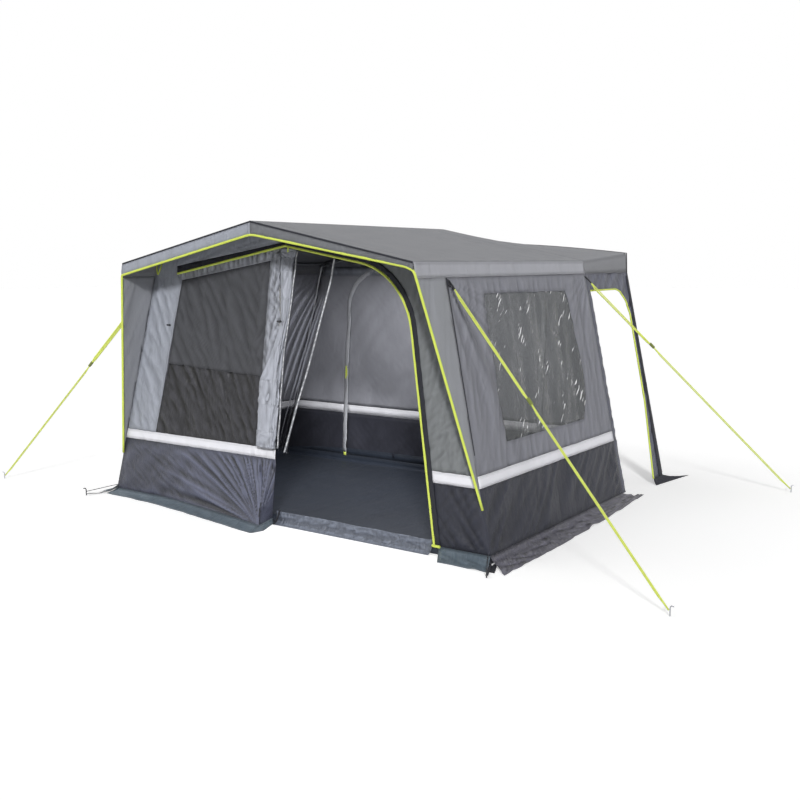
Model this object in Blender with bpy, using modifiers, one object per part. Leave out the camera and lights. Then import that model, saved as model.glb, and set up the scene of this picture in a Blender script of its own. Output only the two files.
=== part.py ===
"""Poled campervan awning: a ridge-roofed room with a front canopy, wings and a connection tunnel.

Metres, +Z up. +X runs along the front from the mesh-window end to the doorway end, +Y runs
from the front towards the vehicle. The origin is on the ground, in the middle of the room.
"""
import math

import bmesh
import bpy
from mathutils import Matrix, Vector

# Room
BASE_HALF = 1.65
ROOM_DEPTH = 1.92
SEAM_Z = 0.05
WALL_TOP_Z = 1.645
SIDE_TOP_INSET = 0.385
FRONT_TOP_INSET = 0.12
REAR_TOP_SETBACK = 0.10
BAND_LOW_Z = 0.43
BAND_HIGH_Z = 0.50

# Roof and canopy
RIDGE_Z = 2.00
EAVE_RISE = 0.095
EAVE_TUCK = 0.018
CANOPY_REACH = 0.19
VALANCE_DROP = 0.085

# Connection tunnel
TUNNEL_DEPTH = 0.785
TUNNEL_EAVE_Z = 1.80
TUNNEL_RIDGE_Z = 1.895
TUNNEL_EAVE_TUCK = 0.010
TUNNEL_OPENING_TOP = 1.52
TUNNEL_HEADER_RADIUS = 0.20
TUNNEL_FRONT_STRIP = 0.05
TUNNEL_LEG_TOP = 0.095
TUNNEL_LEG_FOOT = 0.19
TUNNEL_FLARE_Z = 0.64
BEAD_WIDTH = 0.008
BEAD_THICK = 0.006
BEAD_FOOT_Z = 0.07

# Cloth and seams
CLOTH = 0.003
GAP = 0.0003
SEAM = GAP / 2
FOLD = CLOTH / 2 + GAP
PIPING_R = 0.008

# Front doorway, measured on the front wall
DOOR_PEAK_DROP = 0.154
DOOR_EAVE_DROP = 0.010
DOOR_FOOT_X = 1.265
DOOR_LEG_RATIO = 0.1785
DOOR_RADIUS = 0.51
DOOR_LEFT_X = -0.03
ARCH_TAPE = 0.035
VENT_END_TUCK = 0.065
PIPING_END_TUCK = 0.075
DOOR_TOE = 0.055

# Front mesh window
WINDOW_FOOT_LEFT = 1.227
WINDOW_FOOT_RIGHT = 0.213
WINDOW_HEAD_LEFT = 0.983
WINDOW_HEAD_RIGHT = 0.125
WINDOW_DROP_LEFT = 0.061
WINDOW_DROP_RIGHT = 0.075

# Side windows, measured along the wall
SIDE_WINDOW = ((-0.45, 1.54), (0.68, 1.53), (0.69, 0.86), (0.57, 0.64), (-0.52, 0.645))

# Rear door
REAR_DOOR_HALF = 0.95
REAR_DOOR_SHOULDER_Z = 1.68
REAR_DOOR_PEAK_Z = 1.74
REAR_DOOR_RADIUS = 0.36
ZIP_WIDTH = 0.030
ZIP_THICK = 0.002
ZIP_FOOT_Z = 0.08

# Ground pieces
SHEET_THICK = 0.003
FLAP_LIFT = 0.004
FLAP_REACH = 0.17
FLAP_SIDE_REACH = 0.14
FLAP_REAR_REACH = 0.07
FLAP_REAR_TAIL = 0.26
FLAP_FRONT_REACH = 0.13
FLAP_FRONT_FLARE = 0.06
FLAP_PANEL_REACH = 0.085
FLAP_PANEL_SWELL = 0.03
FLAP_LEFT_REACH = 0.11
FLAP_TUNNEL_TAIL = 0.33
FLAP_TUNNEL_REACH = 0.11
FLAP_CLEAR = 0.0030
FLAP_EDGE_LIFT = 0.0005
SILL_TOP_Z = 0.088
SILL_FOLD_Z = 0.032
SILL_REACH = 0.045
SILL_END_GAP = 0.018
BULGE = 0.20
BULGE_START = 0.30
BULGE_TOE = 0.05
RIPPLE = 0.010
WING_FOOT_Z = 0.33
WING_FOOT_CLEAR = 0.075
PIPING_BEND = 0.035

# Pole frame
POLE_R = 0.0095
JOINT_R = 0.014
SLEEVE_LENGTH = 0.05
SLEEVE_STEP = 0.001
ELBOW_SETTLE = 0.001
FOOT_R = 0.024
FOOT_THICK = 0.006
LEG_INSET = 0.045
BROW_SETBACK = 0.03
FRONT_HOOP_SETBACK = 0.05
REAR_HOOP_SETBACK = 0.045

# Guy ropes, hooks and pegs
ROPE_R = 0.004
ROPE_END_Z = 0.03
HOOK_R = 0.005
HOOK_LENGTH = 0.07
HOOK_INSET = 0.02
HOOK_DROP = 0.02
PEG_R = 0.004
PEG_HEIGHT = 0.055
PEG_BEND = 0.006
PEG_REACH = 0.020
CORNER_PEG_OUT = 0.102
CORNER_PEG_AHEAD = 0.214
LOOP_R = 0.0025
LOOP_INSET = 0.012
LOOP_HIGH_Z = 0.062
LOOP_LOW_Z = 0.030
FRONT_PEG_OUT = 1.15
FRONT_PEG_AHEAD = 0.22
REAR_PEG_OUT = 0.95
REAR_PEG_BEHIND = 0.94
RUNNER_OUTER_R = 0.011
RUNNER_BORE_R = 0.0048
RUNNER_LENGTH = 0.045
FRONT_RUNNER_AT = 0.39
REAR_RUNNER_AT = 0.30

# Zip sliders, pulls and toggles
SLIDER_SIZE = (0.014, 0.008, 0.026)
SLIDER_Z = 0.84
PULL_WIDTH = 0.020
PULL_THICK = 0.003
PULL_LENGTH = 0.11
FRONT_PULL_X = 0.033
FRONT_PULL_WIDTH = 0.012
FRONT_PULL_LENGTH = 0.075
TOGGLE_R = 0.006
TOGGLE_LENGTH = 0.034
TOGGLE_STUB = 0.006
TOGGLE_STUB_R = 0.003
WINDOW_TOGGLE = (-1.099, 1.293)

# Door bundle, from its top to its foot: centre x, share of the way down from the doorway's peak to the band,
# half width, half depth
BUNDLE = (
    (0.032, 0.0134, 0.07, 0.0024),
    (0.031, 0.0602, 0.064, 0.0024),
    (0.03, 0.1233, 0.056, 0.02),
    (0.0285, 0.2571, 0.038, 0.026),
    (0.02, 0.3685, 0.026, 0.022),
    (-0.02, 0.4874, 0.038, 0.03),
    (-0.09, 0.6582, 0.086, 0.036),
    (-0.1, 0.7771, 0.09, 0.036),
    (-0.109, 0.9108, 0.091, 0.032),
    (-0.116, 1.0297, 0.087, 0.026),
)
TIE_SECTION = 4
PLEAT = 0.16
EDGE_PLEAT = 0.04
PLEAT_PHASE = -2.24

# Inner door, drawn back: ends of its top and foot along the front wall
INNER_TOP = (0.005, 0.42)
INNER_FOOT = (-0.075, 0.033)
INNER_FOOT_Z = 0.48
INNER_BACK = 0.024
INNER_FOLD = 0.013

# Worked out from the above
FRONT_Y = -ROOM_DEPTH / 2
REAR_Y = ROOM_DEPTH / 2
WALL_RISE = WALL_TOP_Z - SEAM_Z
CANOPY_Y = FRONT_Y - CANOPY_REACH
WALL_TOP_HALF = BASE_HALF - SIDE_TOP_INSET
EAVE_HALF = WALL_TOP_HALF - EAVE_TUCK
EAVE_Z = WALL_TOP_Z + EAVE_RISE
DOOR_PEAK_Z = RIDGE_Z - DOOR_PEAK_DROP
VENT_END_X = WALL_TOP_HALF - VENT_END_TUCK
PIPING_END_X = WALL_TOP_HALF - PIPING_END_TUCK
DOOR_GABLE_RATIO = (DOOR_PEAK_Z - WALL_TOP_Z + DOOR_EAVE_DROP) / PIPING_END_X
TUNNEL_Y = REAR_Y + TUNNEL_DEPTH
TUNNEL_EAVE_HALF = WALL_TOP_HALF - TUNNEL_EAVE_TUCK
TAPE_START = PIPING_R + GAP
TAPE_END = TAPE_START + ARCH_TAPE
NOTCH_HALF = POLE_R + 2 * CLOTH
NOTCH_Z = RIDGE_Z - 2 * JOINT_R - 3 * CLOTH
RIDGE_SEAM = SEAM + CLOTH / 2 * (RIDGE_Z - EAVE_Z) / EAVE_HALF


def front_y(z):
    return FRONT_Y + FRONT_TOP_INSET * (z - SEAM_Z) / WALL_RISE


def rear_y(z):
    return REAR_Y + REAR_TOP_SETBACK * (z - SEAM_Z) / WALL_RISE


def tunnel_y(z):
    return TUNNEL_Y + REAR_TOP_SETBACK * (z - SEAM_Z) / WALL_RISE


def side_x(z):
    return BASE_HALF - SIDE_TOP_INSET * (z - SEAM_Z) / WALL_RISE


def roof_z(x):
    return RIDGE_Z - (RIDGE_Z - EAVE_Z) * abs(x) / EAVE_HALF


def gable_z(x):
    """Height of the door piping along the top of the front wall."""
    return DOOR_PEAK_Z - DOOR_GABLE_RATIO * abs(x)


WALLS = {
    "front": (Vector((0, FRONT_Y, SEAM_Z)), Vector((1, 0, 0)), Vector((0, FRONT_TOP_INSET, WALL_RISE)), 1),
    "rear": (Vector((0, REAR_Y, SEAM_Z)), Vector((-1, 0, 0)), Vector((0, REAR_TOP_SETBACK, WALL_RISE)), -1),
    "right": (Vector((BASE_HALF, 0, SEAM_Z)), Vector((0, 1, 0)), Vector((-SIDE_TOP_INSET, 0, WALL_RISE)), 1),
    "left": (Vector((-BASE_HALF, 0, SEAM_Z)), Vector((0, -1, 0)), Vector((SIDE_TOP_INSET, 0, WALL_RISE)), -1),
    "tunnel": (Vector((0, TUNNEL_Y, SEAM_Z)), Vector((-1, 0, 0)), Vector((0, REAR_TOP_SETBACK, WALL_RISE)), -1),
}

for leftover in list(bpy.data.objects):
    bpy.data.objects.remove(leftover, do_unlink=True)

parts = bpy.data.collections.new("campervan_awning")
bpy.context.scene.collection.children.link(parts)


def material(name, colour, roughness, metallic=0.0):
    made = bpy.data.materials.new(name)
    made.use_nodes = True
    shader = made.node_tree.nodes["Principled BSDF"]
    shader.inputs["Base Color"].default_value = (*colour, 1.0)
    shader.inputs["Roughness"].default_value = roughness
    shader.inputs["Metallic"].default_value = metallic
    return made


COLOURS = {
    "roof": ((0.27, 0.28, 0.29), 0.75),
    "light": ((0.36, 0.37, 0.40), 0.80),
    "mid": ((0.22, 0.22, 0.24), 0.80),
    "dark": ((0.075, 0.075, 0.09), 0.80),
    "mesh": ((0.05, 0.05, 0.055), 0.90),
    "white": ((0.80, 0.80, 0.84), 0.60),
    "lime": ((0.62, 0.74, 0.18), 0.60),
    "slate": ((0.12, 0.15, 0.18), 0.70),
    "film": ((0.30, 0.32, 0.33), 0.15),
    "black": ((0.015, 0.015, 0.018), 0.45),
}


def finish(obj, name, colour):
    """Names an object, gives it its own material and puts it with the parts."""
    obj.name = name
    obj.data.name = name
    obj.data.materials.clear()
    if colour == "steel":
        obj.data.materials.append(material(name, (0.55, 0.56, 0.58), 0.35, 1.0))
    else:
        obj.data.materials.append(material(name, *COLOURS[colour]))
    if obj.name not in parts.objects:
        parts.objects.link(obj)
    return obj


def inset(outline):
    """Moves each edge of a closed outline inwards. Entries are (u, z, distance of the edge after it)."""
    count = len(outline)
    corners = [Vector((u, z)) for u, z, distance in outline]
    area = sum(corners[i - 1].x * corners[i].y - corners[i].x * corners[i - 1].y for i in range(count))
    turn = math.copysign(1.0, area)
    lines = []
    for i in range(count):
        along = (corners[(i + 1) % count] - corners[i]).normalized()
        inward = Vector((-along.y, along.x)) * turn
        lines.append((corners[i] + inward * outline[i][2], along))
    moved = []
    for i in range(count):
        (before, a), (after, b) = lines[i - 1], lines[i]
        cross = a.x * b.y - a.y * b.x
        if abs(cross) < 1e-5:
            moved.append(after)
        else:
            step = after - before
            moved.append(before + a * ((step.x * b.y - step.y * b.x) / cross))
    return moved


def flat_piece(name, frame, loops, thickness, colour):
    """A flat sheet cut to closed outlines in the frame's XY plane, centred on it."""
    curve = bpy.data.curves.new(name, "CURVE")
    curve.dimensions = "2D"
    curve.fill_mode = "BOTH"
    curve.extrude = thickness / 2
    for loop in loops:
        spline = curve.splines.new("POLY")
        spline.points.add(len(loop) - 1)
        for point, corner in zip(spline.points, loop):
            point.co = (corner[0], corner[1], 0, 1)
        spline.use_cyclic_u = True
    obj = bpy.data.objects.new(name, curve)
    obj.matrix_world = frame
    return finish(obj, name, colour)


def wall_frame(wall, out=0.0):
    origin, across, rise, sign = WALLS[wall]
    up = rise.normalized()
    normal = across.cross(up)
    frame = Matrix((across, up, normal)).transposed().to_4x4()
    frame.translation = origin + normal * out
    return frame


def wall_local(wall, u, z):
    """A point of a wall, given along it and by its height, in the wall's own plane."""
    origin, across, rise, sign = WALLS[wall]
    return Vector((u * sign, (z - SEAM_Z) * rise.length / WALL_RISE))


def wall_point(wall, u, z, out=0.0):
    return wall_frame(wall, out) @ wall_local(wall, u, z).to_3d()


def wall_panel(name, wall, outlines, colour, thickness=CLOTH, out=0.0):
    """A flat panel of a wall. Outlines are lists of (u, height, inset of the edge after it)."""
    loops = []
    for outline in outlines:
        loops.append(inset([(*wall_local(wall, u, z), d) for u, z, d in outline]))
    return flat_piece(name, wall_frame(wall, out), loops, thickness, colour)


def sheet(name, rows, colour, thickness=CLOTH):
    """A bent sheet through rows of points, every row of the same length."""
    down = len(rows) - 1
    across = len(rows[0]) - 1
    mesh = bpy.data.meshes.new(name)
    shape = bmesh.new()
    bmesh.ops.create_grid(shape, x_segments=across, y_segments=down, size=1.0)
    for vert in shape.verts:
        row = round((vert.co.y + 1) / 2 * down)
        column = round((vert.co.x + 1) / 2 * across)
        vert.co = rows[row][column]
    shape.to_mesh(mesh)
    shape.free()
    obj = bpy.data.objects.new(name, mesh)
    thicken(obj, thickness)
    return finish(obj, name, colour)


def thicken(obj, thickness):
    wall = obj.modifiers.new("Thickness", "SOLIDIFY")
    wall.thickness = thickness
    wall.offset = 0.0
    wall.use_even_offset = True


def bar(points, radius, resolution=2, swell=None):
    """A round bar along straight runs between points, not yet named. swell scales its radius at each point."""
    curve = bpy.data.curves.new("bar", "CURVE")
    curve.dimensions = "3D"
    curve.bevel_depth = radius
    curve.bevel_resolution = resolution
    curve.use_fill_caps = True
    spline = curve.splines.new("POLY")
    spline.points.add(len(points) - 1)
    for index, place in enumerate(points):
        spline.points[index].co = (*place, 1)
        spline.points[index].radius = swell[index] if swell else 1.0
    obj = bpy.data.objects.new("bar", curve)
    parts.objects.link(obj)
    return obj


def tube(name, points, radius, colour, resolution=2):
    return finish(bar(points, radius, resolution), name, colour)


def as_mesh(obj):
    """Turns an object into a plain mesh that holds its place, and removes the object."""
    bpy.context.view_layer.update()
    evaluated = obj.evaluated_get(bpy.context.evaluated_depsgraph_get())
    mesh = bpy.data.meshes.new_from_object(evaluated)
    mesh.transform(obj.matrix_world)
    welded = bmesh.new()
    welded.from_mesh(mesh)
    bmesh.ops.remove_doubles(welded, verts=welded.verts, dist=0.00001)
    welded.to_mesh(mesh)
    welded.free()
    bpy.data.objects.remove(obj, do_unlink=True)
    return mesh


def joined(name, pieces, colour):
    """One body made of pieces that run into each other."""
    whole = bpy.data.objects.new(name, as_mesh(pieces[0]))
    parts.objects.link(whole)
    for piece in pieces[1:]:
        other = bpy.data.objects.new("other", as_mesh(piece))
        parts.objects.link(other)
        union = whole.modifiers.new("Join", "BOOLEAN")
        union.operation = "UNION"
        union.object = other
        bpy.context.view_layer.update()
        evaluated = whole.evaluated_get(bpy.context.evaluated_depsgraph_get())
        mesh = bpy.data.meshes.new_from_object(evaluated)
        whole.modifiers.clear()
        whole.data = mesh
        bpy.data.objects.remove(other, do_unlink=True)
    return finish(whole, name, colour)


def mirrored(point):
    return Vector((-point[0], point[1], point[2]))


def arch(offset, start_x, foot_z, steps=8):
    """The doorway's edge moved outwards by offset: along the gable, round the shoulder, down the leg."""
    gable_angle = math.atan(DOOR_GABLE_RATIO)
    leg_angle = math.pi / 2 - math.atan(DOOR_LEG_RATIO)
    corner_x = DOOR_FOOT_X - DOOR_LEG_RATIO * (DOOR_PEAK_Z - SEAM_Z)
    corner_x /= 1 - DOOR_LEG_RATIO * DOOR_GABLE_RATIO
    corner_z = gable_z(corner_x)
    turn = leg_angle - gable_angle
    tangent = DOOR_RADIUS * math.tan(turn / 2)
    start = Vector((corner_x - tangent * math.cos(gable_angle), corner_z + tangent * math.sin(gable_angle)))
    centre = start + DOOR_RADIUS * Vector((-math.sin(gable_angle), -math.cos(gable_angle)))
    lift = offset / math.cos(gable_angle)
    points = [(start_x, gable_z(start_x) + lift)]
    for step in range(steps + 1):
        angle = math.pi / 2 - gable_angle - turn * step / steps
        radius = DOOR_RADIUS + offset
        points.append((centre.x + radius * math.cos(angle), centre.y + radius * math.sin(angle)))
    shift = offset / math.cos(math.atan(DOOR_LEG_RATIO))
    points.append((DOOR_FOOT_X - DOOR_LEG_RATIO * (foot_z - SEAM_Z) + shift, foot_z))
    return points


def rear_arch(offset, foot_z, steps=6):
    """The rear door's edge moved outwards by offset, from its right foot over the top to its left foot."""
    half = REAR_DOOR_HALF + offset
    shoulder = REAR_DOOR_SHOULDER_Z + offset
    radius = REAR_DOOR_RADIUS + offset
    right = [(half, foot_z)]
    for step in range(steps + 1):
        angle = math.pi / 2 * step / steps
        right.append((half - radius + radius * math.cos(angle), shoulder - radius + radius * math.sin(angle)))
    left = [(-x, z) for x, z in reversed(right)]
    return right + [(0.0, REAR_DOOR_PEAK_Z + offset)] + left


def ground_pieces():
    """The tray groundsheet, the sill under the doorway and the mud flaps all round."""
    mesh = bpy.data.meshes.new("groundsheet")
    tray = bmesh.new()
    bmesh.ops.create_grid(tray, x_segments=1, y_segments=1, size=1.0)
    for vert in tray.verts:
        vert.co = (vert.co.x * BASE_HALF, vert.co.y * ROOM_DEPTH / 2, SHEET_THICK / 2)
    lip = bmesh.ops.extrude_edge_only(tray, edges=tray.edges[:])
    lifted = [item for item in lip["geom"] if isinstance(item, bmesh.types.BMVert)]
    bmesh.ops.translate(tray, verts=lifted, vec=(0, 0, SEAM_Z - GAP - SHEET_THICK / 2))
    bmesh.ops.recalc_face_normals(tray, faces=tray.faces[:])
    tray.to_mesh(mesh)
    tray.free()
    thicken(bpy.data.objects.new("groundsheet", mesh), SHEET_THICK)
    finish(bpy.data.objects["groundsheet"], "groundsheet", "slate")

    upright_y = FRONT_Y - CLOTH - GAP
    left_x = DOOR_LEFT_X + BULGE_TOE + SILL_END_GAP
    right_x = DOOR_FOOT_X - SILL_END_GAP
    sill = [[(left_x, y, z), (right_x, y, z)] for y, z in (
        (FRONT_Y - SILL_REACH, CLOTH / 2), (upright_y, SILL_FOLD_Z), (upright_y, SILL_TOP_Z))]
    sheet("door_sill", sill, "slate")

    sewn_z = SEAM_Z + FLAP_LIFT
    edge = side_x(sewn_z) + FLAP_CLEAR
    start = FRONT_Y - FLAP_CLEAR
    rear_near = REAR_Y - 2 * CLOTH
    front_far = start - FLAP_FRONT_REACH
    near = [(DOOR_FOOT_X + DOOR_TOE + 3 * PIPING_R, start), (edge, start), (edge, 0.0), (edge, rear_near)]
    far = [(near[0][0] + FLAP_FRONT_FLARE, front_far), (edge + FLAP_REACH, front_far),
           (edge + FLAP_SIDE_REACH, 0.0), (edge + FLAP_REAR_REACH, REAR_Y + FLAP_REAR_TAIL)]
    sheet("mudflap_right", flap_rows(near, far, sewn_z), "slate")

    near = []
    far = []
    for step in range(9):
        share = 1 - step / 8
        x = -edge + share * (edge + DOOR_LEFT_X + BULGE_TOE)
        y = foot_bulge(share) - FLAP_CLEAR
        near.append((x, y))
        far.append((x, y - FLAP_PANEL_REACH - FLAP_PANEL_SWELL * math.sin(math.pi * share)))
    far[-1] = (-edge - FLAP_LEFT_REACH, start - FLAP_PANEL_REACH)
    near += [(-edge, 0.0), (-edge, rear_near)]
    far += [(-edge - FLAP_SIDE_REACH, 0.0), (-edge - FLAP_REAR_REACH, REAR_Y + FLAP_REAR_TAIL)]
    sheet("mudflap_left", flap_rows(near, far, sewn_z), "slate")

    near = [(edge, TUNNEL_Y - TUNNEL_LEG_FOOT + 2 * CLOTH), (edge, TUNNEL_Y - 2 * CLOTH)]
    far = [(edge + FLAP_TUNNEL_REACH / 4, TUNNEL_Y - TUNNEL_LEG_FOOT),
           (edge + FLAP_TUNNEL_REACH, TUNNEL_Y + FLAP_TUNNEL_TAIL)]
    sheet("mudflap_tunnel_right", flap_rows(near, far, sewn_z), "slate")
    near = [(-x, y) for x, y in near]
    far = [(-x, y) for x, y in far]
    sheet("mudflap_tunnel_left", flap_rows(near, far, sewn_z), "slate")


def flap_rows(near, far, sewn_z):
    """Rows of a mud flap: its free edge on the ground and its sewn edge just above the foot seam."""
    return [[(x, y, CLOTH / 2 + FLAP_EDGE_LIFT) for x, y in far], [(x, y, sewn_z) for x, y in near]]


def foot_bulge(share):
    """How far forward the foot of the front left panel is pegged, from its corner to the doorway."""
    eased = max(0.0, (share - BULGE_START) / (1 - BULGE_START))
    return FRONT_Y - BULGE * eased ** 1.25


def corner_strip(name, side, inner_low, inner_high, low, high, colour):
    """A strip that runs along the front wall, round the corner seam and along a side wall."""
    rows = []
    for z, inner in ((low + 2 * GAP, inner_low), (high - 2 * GAP, inner_high)):
        rows.append([(inner, front_y(z), z), (side * side_x(z), front_y(z), z),
                     (side * side_x(z), rear_y(z) - SEAM, z)])
    sheet(name, rows, colour)


def front_wall():
    """Everything sewn into the leaning front wall."""
    head_left = (-WINDOW_HEAD_LEFT, gable_z(WINDOW_HEAD_LEFT) - WINDOW_DROP_LEFT)
    head_right = (-WINDOW_HEAD_RIGHT, gable_z(WINDOW_HEAD_RIGHT) - WINDOW_DROP_RIGHT)
    wall_panel("front_left_panel", "front", [[
        (-side_x(BAND_HIGH_Z), BAND_HIGH_Z, SEAM), (-WINDOW_FOOT_LEFT, BAND_HIGH_Z, SEAM),
        (*head_left, SEAM), (*head_right, SEAM), (-WINDOW_FOOT_RIGHT, BAND_HIGH_Z, SEAM),
        (DOOR_LEFT_X, BAND_HIGH_Z, SEAM), (DOOR_LEFT_X, gable_z(DOOR_LEFT_X), TAPE_START + SEAM),
        (-PIPING_END_X, gable_z(PIPING_END_X), FOLD), (-WALL_TOP_HALF, WALL_TOP_Z, FOLD)]], "light")
    wall_panel("front_mesh_window", "front", [[
        (-WINDOW_FOOT_LEFT, BAND_HIGH_Z, SEAM), (-WINDOW_FOOT_RIGHT, BAND_HIGH_Z, SEAM),
        (*head_right, SEAM), (*head_left, SEAM)]], "mesh")

    rows = []
    for level in range(7):
        drop = level / 6
        z = BAND_LOW_Z - 2 * GAP - drop * (BAND_LOW_Z - SEAM_Z - 4 * GAP)
        left = -side_x(z) + FOLD + GAP
        right = DOOR_LEFT_X + BULGE_TOE * drop ** 2
        row = []
        for step in range(33):
            share = step / 32
            lead = front_y(z) + (foot_bulge(share) - FRONT_Y) * drop ** 1.3
            ripple = RIPPLE * math.sin(share * 14 * math.pi + 2.2 * drop) * share * math.sin(math.pi * drop)
            row.append((left + (right - left) * share, lead - abs(ripple), z))
        rows.append(row)
    sheet("front_left_lower", rows, "dark")

    lift = TAPE_END / math.cos(math.atan(DOOR_GABLE_RATIO))
    inner = arch(TAPE_START, 0.0, BAND_HIGH_Z)
    outline = [(0.0, gable_z(0.0) + lift, SEAM), (VENT_END_X, gable_z(VENT_END_X) + lift, FOLD),
               (WALL_TOP_HALF, WALL_TOP_Z, FOLD), (side_x(BAND_HIGH_Z), BAND_HIGH_Z, SEAM)]
    outline += [(x, z, SEAM) for x, z in reversed(inner)]
    wall_panel("front_right_panel", "front", [outline], "light")

    def leg_edge(z):
        return arch(TAPE_START, 0.0, z)[-1][0] + SEAM

    corner_strip("wall_band_right", 1, leg_edge(BAND_LOW_Z), leg_edge(BAND_HIGH_Z), BAND_LOW_Z, BAND_HIGH_Z, "white")
    corner_strip("wall_band_left", -1, DOOR_LEFT_X, DOOR_LEFT_X, BAND_LOW_Z, BAND_HIGH_Z, "white")
    corner_strip("right_wall_lower", 1, leg_edge(SEAM_Z), leg_edge(BAND_LOW_Z), SEAM_Z, BAND_LOW_Z, "dark")

    end_x = PIPING_END_X - 3 * PIPING_R
    path = [(-end_x, gable_z(end_x)), (0.0, gable_z(0.0))]
    path += arch(0.0, 0.0, SEAM_Z + PIPING_R + GAP)[1:]
    points = [wall_point("front", x, z) for x, z in path]
    points.append(points[-1] + Vector((0, -2 * PIPING_R - 2 * CLOTH, 0)))
    points.append(points[-1] + Vector((DOOR_TOE, 0, 0)))
    tube("door_arch_piping", points, PIPING_R, "lime", 4)

    vent = [(-VENT_END_X, gable_z(VENT_END_X) + TAPE_START, SEAM), (0.0, gable_z(0.0) + TAPE_START, SEAM),
            (0.0, gable_z(0.0) + lift, SEAM), (VENT_END_X, gable_z(VENT_END_X) + lift, SEAM),
            (VENT_END_X, roof_z(VENT_END_X), FOLD + GAP), (NOTCH_HALF, roof_z(NOTCH_HALF), SEAM),
            (NOTCH_HALF, NOTCH_Z, SEAM), (-NOTCH_HALF, NOTCH_Z, SEAM),
            (-NOTCH_HALF, roof_z(NOTCH_HALF), FOLD + GAP), (-VENT_END_X, roof_z(VENT_END_X), SEAM)]
    wall_panel("front_gable_vent", "front", [vent], "mesh")


def side_walls():
    """The two long walls, their windows and lower panels, and the wings ahead of them."""
    for wall in ("right", "left"):
        wall_panel(wall + "_wall", wall, [
            [(front_y(BAND_HIGH_Z), BAND_HIGH_Z, SEAM), (rear_y(BAND_HIGH_Z), BAND_HIGH_Z, SEAM),
             (rear_y(WALL_TOP_Z), WALL_TOP_Z, SEAM), (front_y(WALL_TOP_Z), WALL_TOP_Z, SEAM)],
            [(y, z, 0.0) for y, z in SIDE_WINDOW]], "mid")
        wall_panel(wall + "_window", wall, [[(y, z, GAP) for y, z in SIDE_WINDOW]], "film")
        wall_panel("wing_" + wall, wall, [[
            (CANOPY_Y + CLOTH, WALL_TOP_Z, PIPING_R + GAP), (front_y(WING_FOOT_Z), WING_FOOT_Z, FOLD),
            (front_y(WALL_TOP_Z), WALL_TOP_Z, SEAM)]], "mid")
    wall_panel("left_wall_lower", "left", [[
        (front_y(SEAM_Z), SEAM_Z, SEAM), (rear_y(SEAM_Z), SEAM_Z, SEAM),
        (rear_y(BAND_LOW_Z), BAND_LOW_Z, SEAM), (front_y(BAND_LOW_Z), BAND_LOW_Z, SEAM)]], "dark")


def rear_wall():
    """The wall towards the vehicle with its arched door and zip."""
    edge = rear_arch(0.0, SEAM_Z)
    outline = [(-x, z, SEAM) for x, z in edge]
    outline += [(side_x(SEAM_Z), SEAM_Z, FOLD), (WALL_TOP_HALF, WALL_TOP_Z, FOLD), (EAVE_HALF, EAVE_Z, FOLD + GAP),
                (0.0, RIDGE_Z, FOLD + GAP), (-EAVE_HALF, EAVE_Z, FOLD), (-WALL_TOP_HALF, WALL_TOP_Z, FOLD),
                (-side_x(SEAM_Z), SEAM_Z, SEAM)]
    wall_panel("rear_wall", "rear", [outline], "mid")
    wall_panel("rear_door", "rear", [[(x, z, SEAM) for x, z in edge]], "mid")
    outer = rear_arch(ZIP_WIDTH / 2, ZIP_FOOT_Z)
    inner = rear_arch(-ZIP_WIDTH / 2, ZIP_FOOT_Z)
    strip = [(x, z, 0.0) for x, z in outer] + [(x, z, 0.0) for x, z in reversed(inner)]
    wall_panel("rear_door_zip", "rear", [strip], "light", ZIP_THICK, -(CLOTH + ZIP_THICK) / 2 - GAP)


def drop_x(z):
    """Half width of the roof's side drop at a height."""
    return EAVE_HALF + (WALL_TOP_HALF - EAVE_HALF) * (EAVE_Z - z) / (EAVE_Z - WALL_TOP_Z)


def roof():
    """Two slopes with their side drops, the gable-shaped valance and the lime edge piping."""
    front = CANOPY_Y - CLOTH / 2
    for side, name in ((1, "right"), (-1, "left")):
        rows = []
        for x, z in ((RIDGE_SEAM, RIDGE_Z), (EAVE_HALF, EAVE_Z), (WALL_TOP_HALF, WALL_TOP_Z + GAP)):
            rows.append([(side * x, front, z), (side * x, rear_y(z) - GAP, z)])
        sheet("roof_" + name, rows, "roof")

    low = EAVE_Z - VALANCE_DROP
    frame = Matrix(((1, 0, 0), (0, 0, -1), (0, 1, 0))).to_4x4()
    frame.translation = (0, CANOPY_Y, 0)
    valance = [(-EAVE_HALF, EAVE_Z, FOLD), (-drop_x(low), low, PIPING_R + GAP),
               (0.0, RIDGE_Z - VALANCE_DROP, PIPING_R + GAP), (drop_x(low), low, FOLD),
               (EAVE_HALF, EAVE_Z, FOLD + GAP), (0.0, RIDGE_Z, FOLD + GAP)]
    flat_piece("front_valance", frame, [inset(valance)], CLOTH, "roof")

    corner = Vector((drop_x(low) - 2 * CLOTH, CANOPY_Y, low))
    peak = Vector((0, CANOPY_Y, RIDGE_Z - VALANCE_DROP))
    wing_low = wall_point("right", front_y(WING_FOOT_Z), WING_FOOT_Z)
    wing_high = wall_point("right", CANOPY_Y + CLOTH, WALL_TOP_Z)
    to_peak = (peak - corner).normalized()
    to_foot = (wing_low - wing_high).normalized()
    right = [wing_low - to_foot * WING_FOOT_CLEAR, wing_high + to_foot * PIPING_BEND, corner + to_peak * PIPING_BEND]
    path = right + [peak] + [mirrored(p) for p in reversed(right)]
    tube("canopy_piping", path, PIPING_R, "lime", 4)


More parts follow.
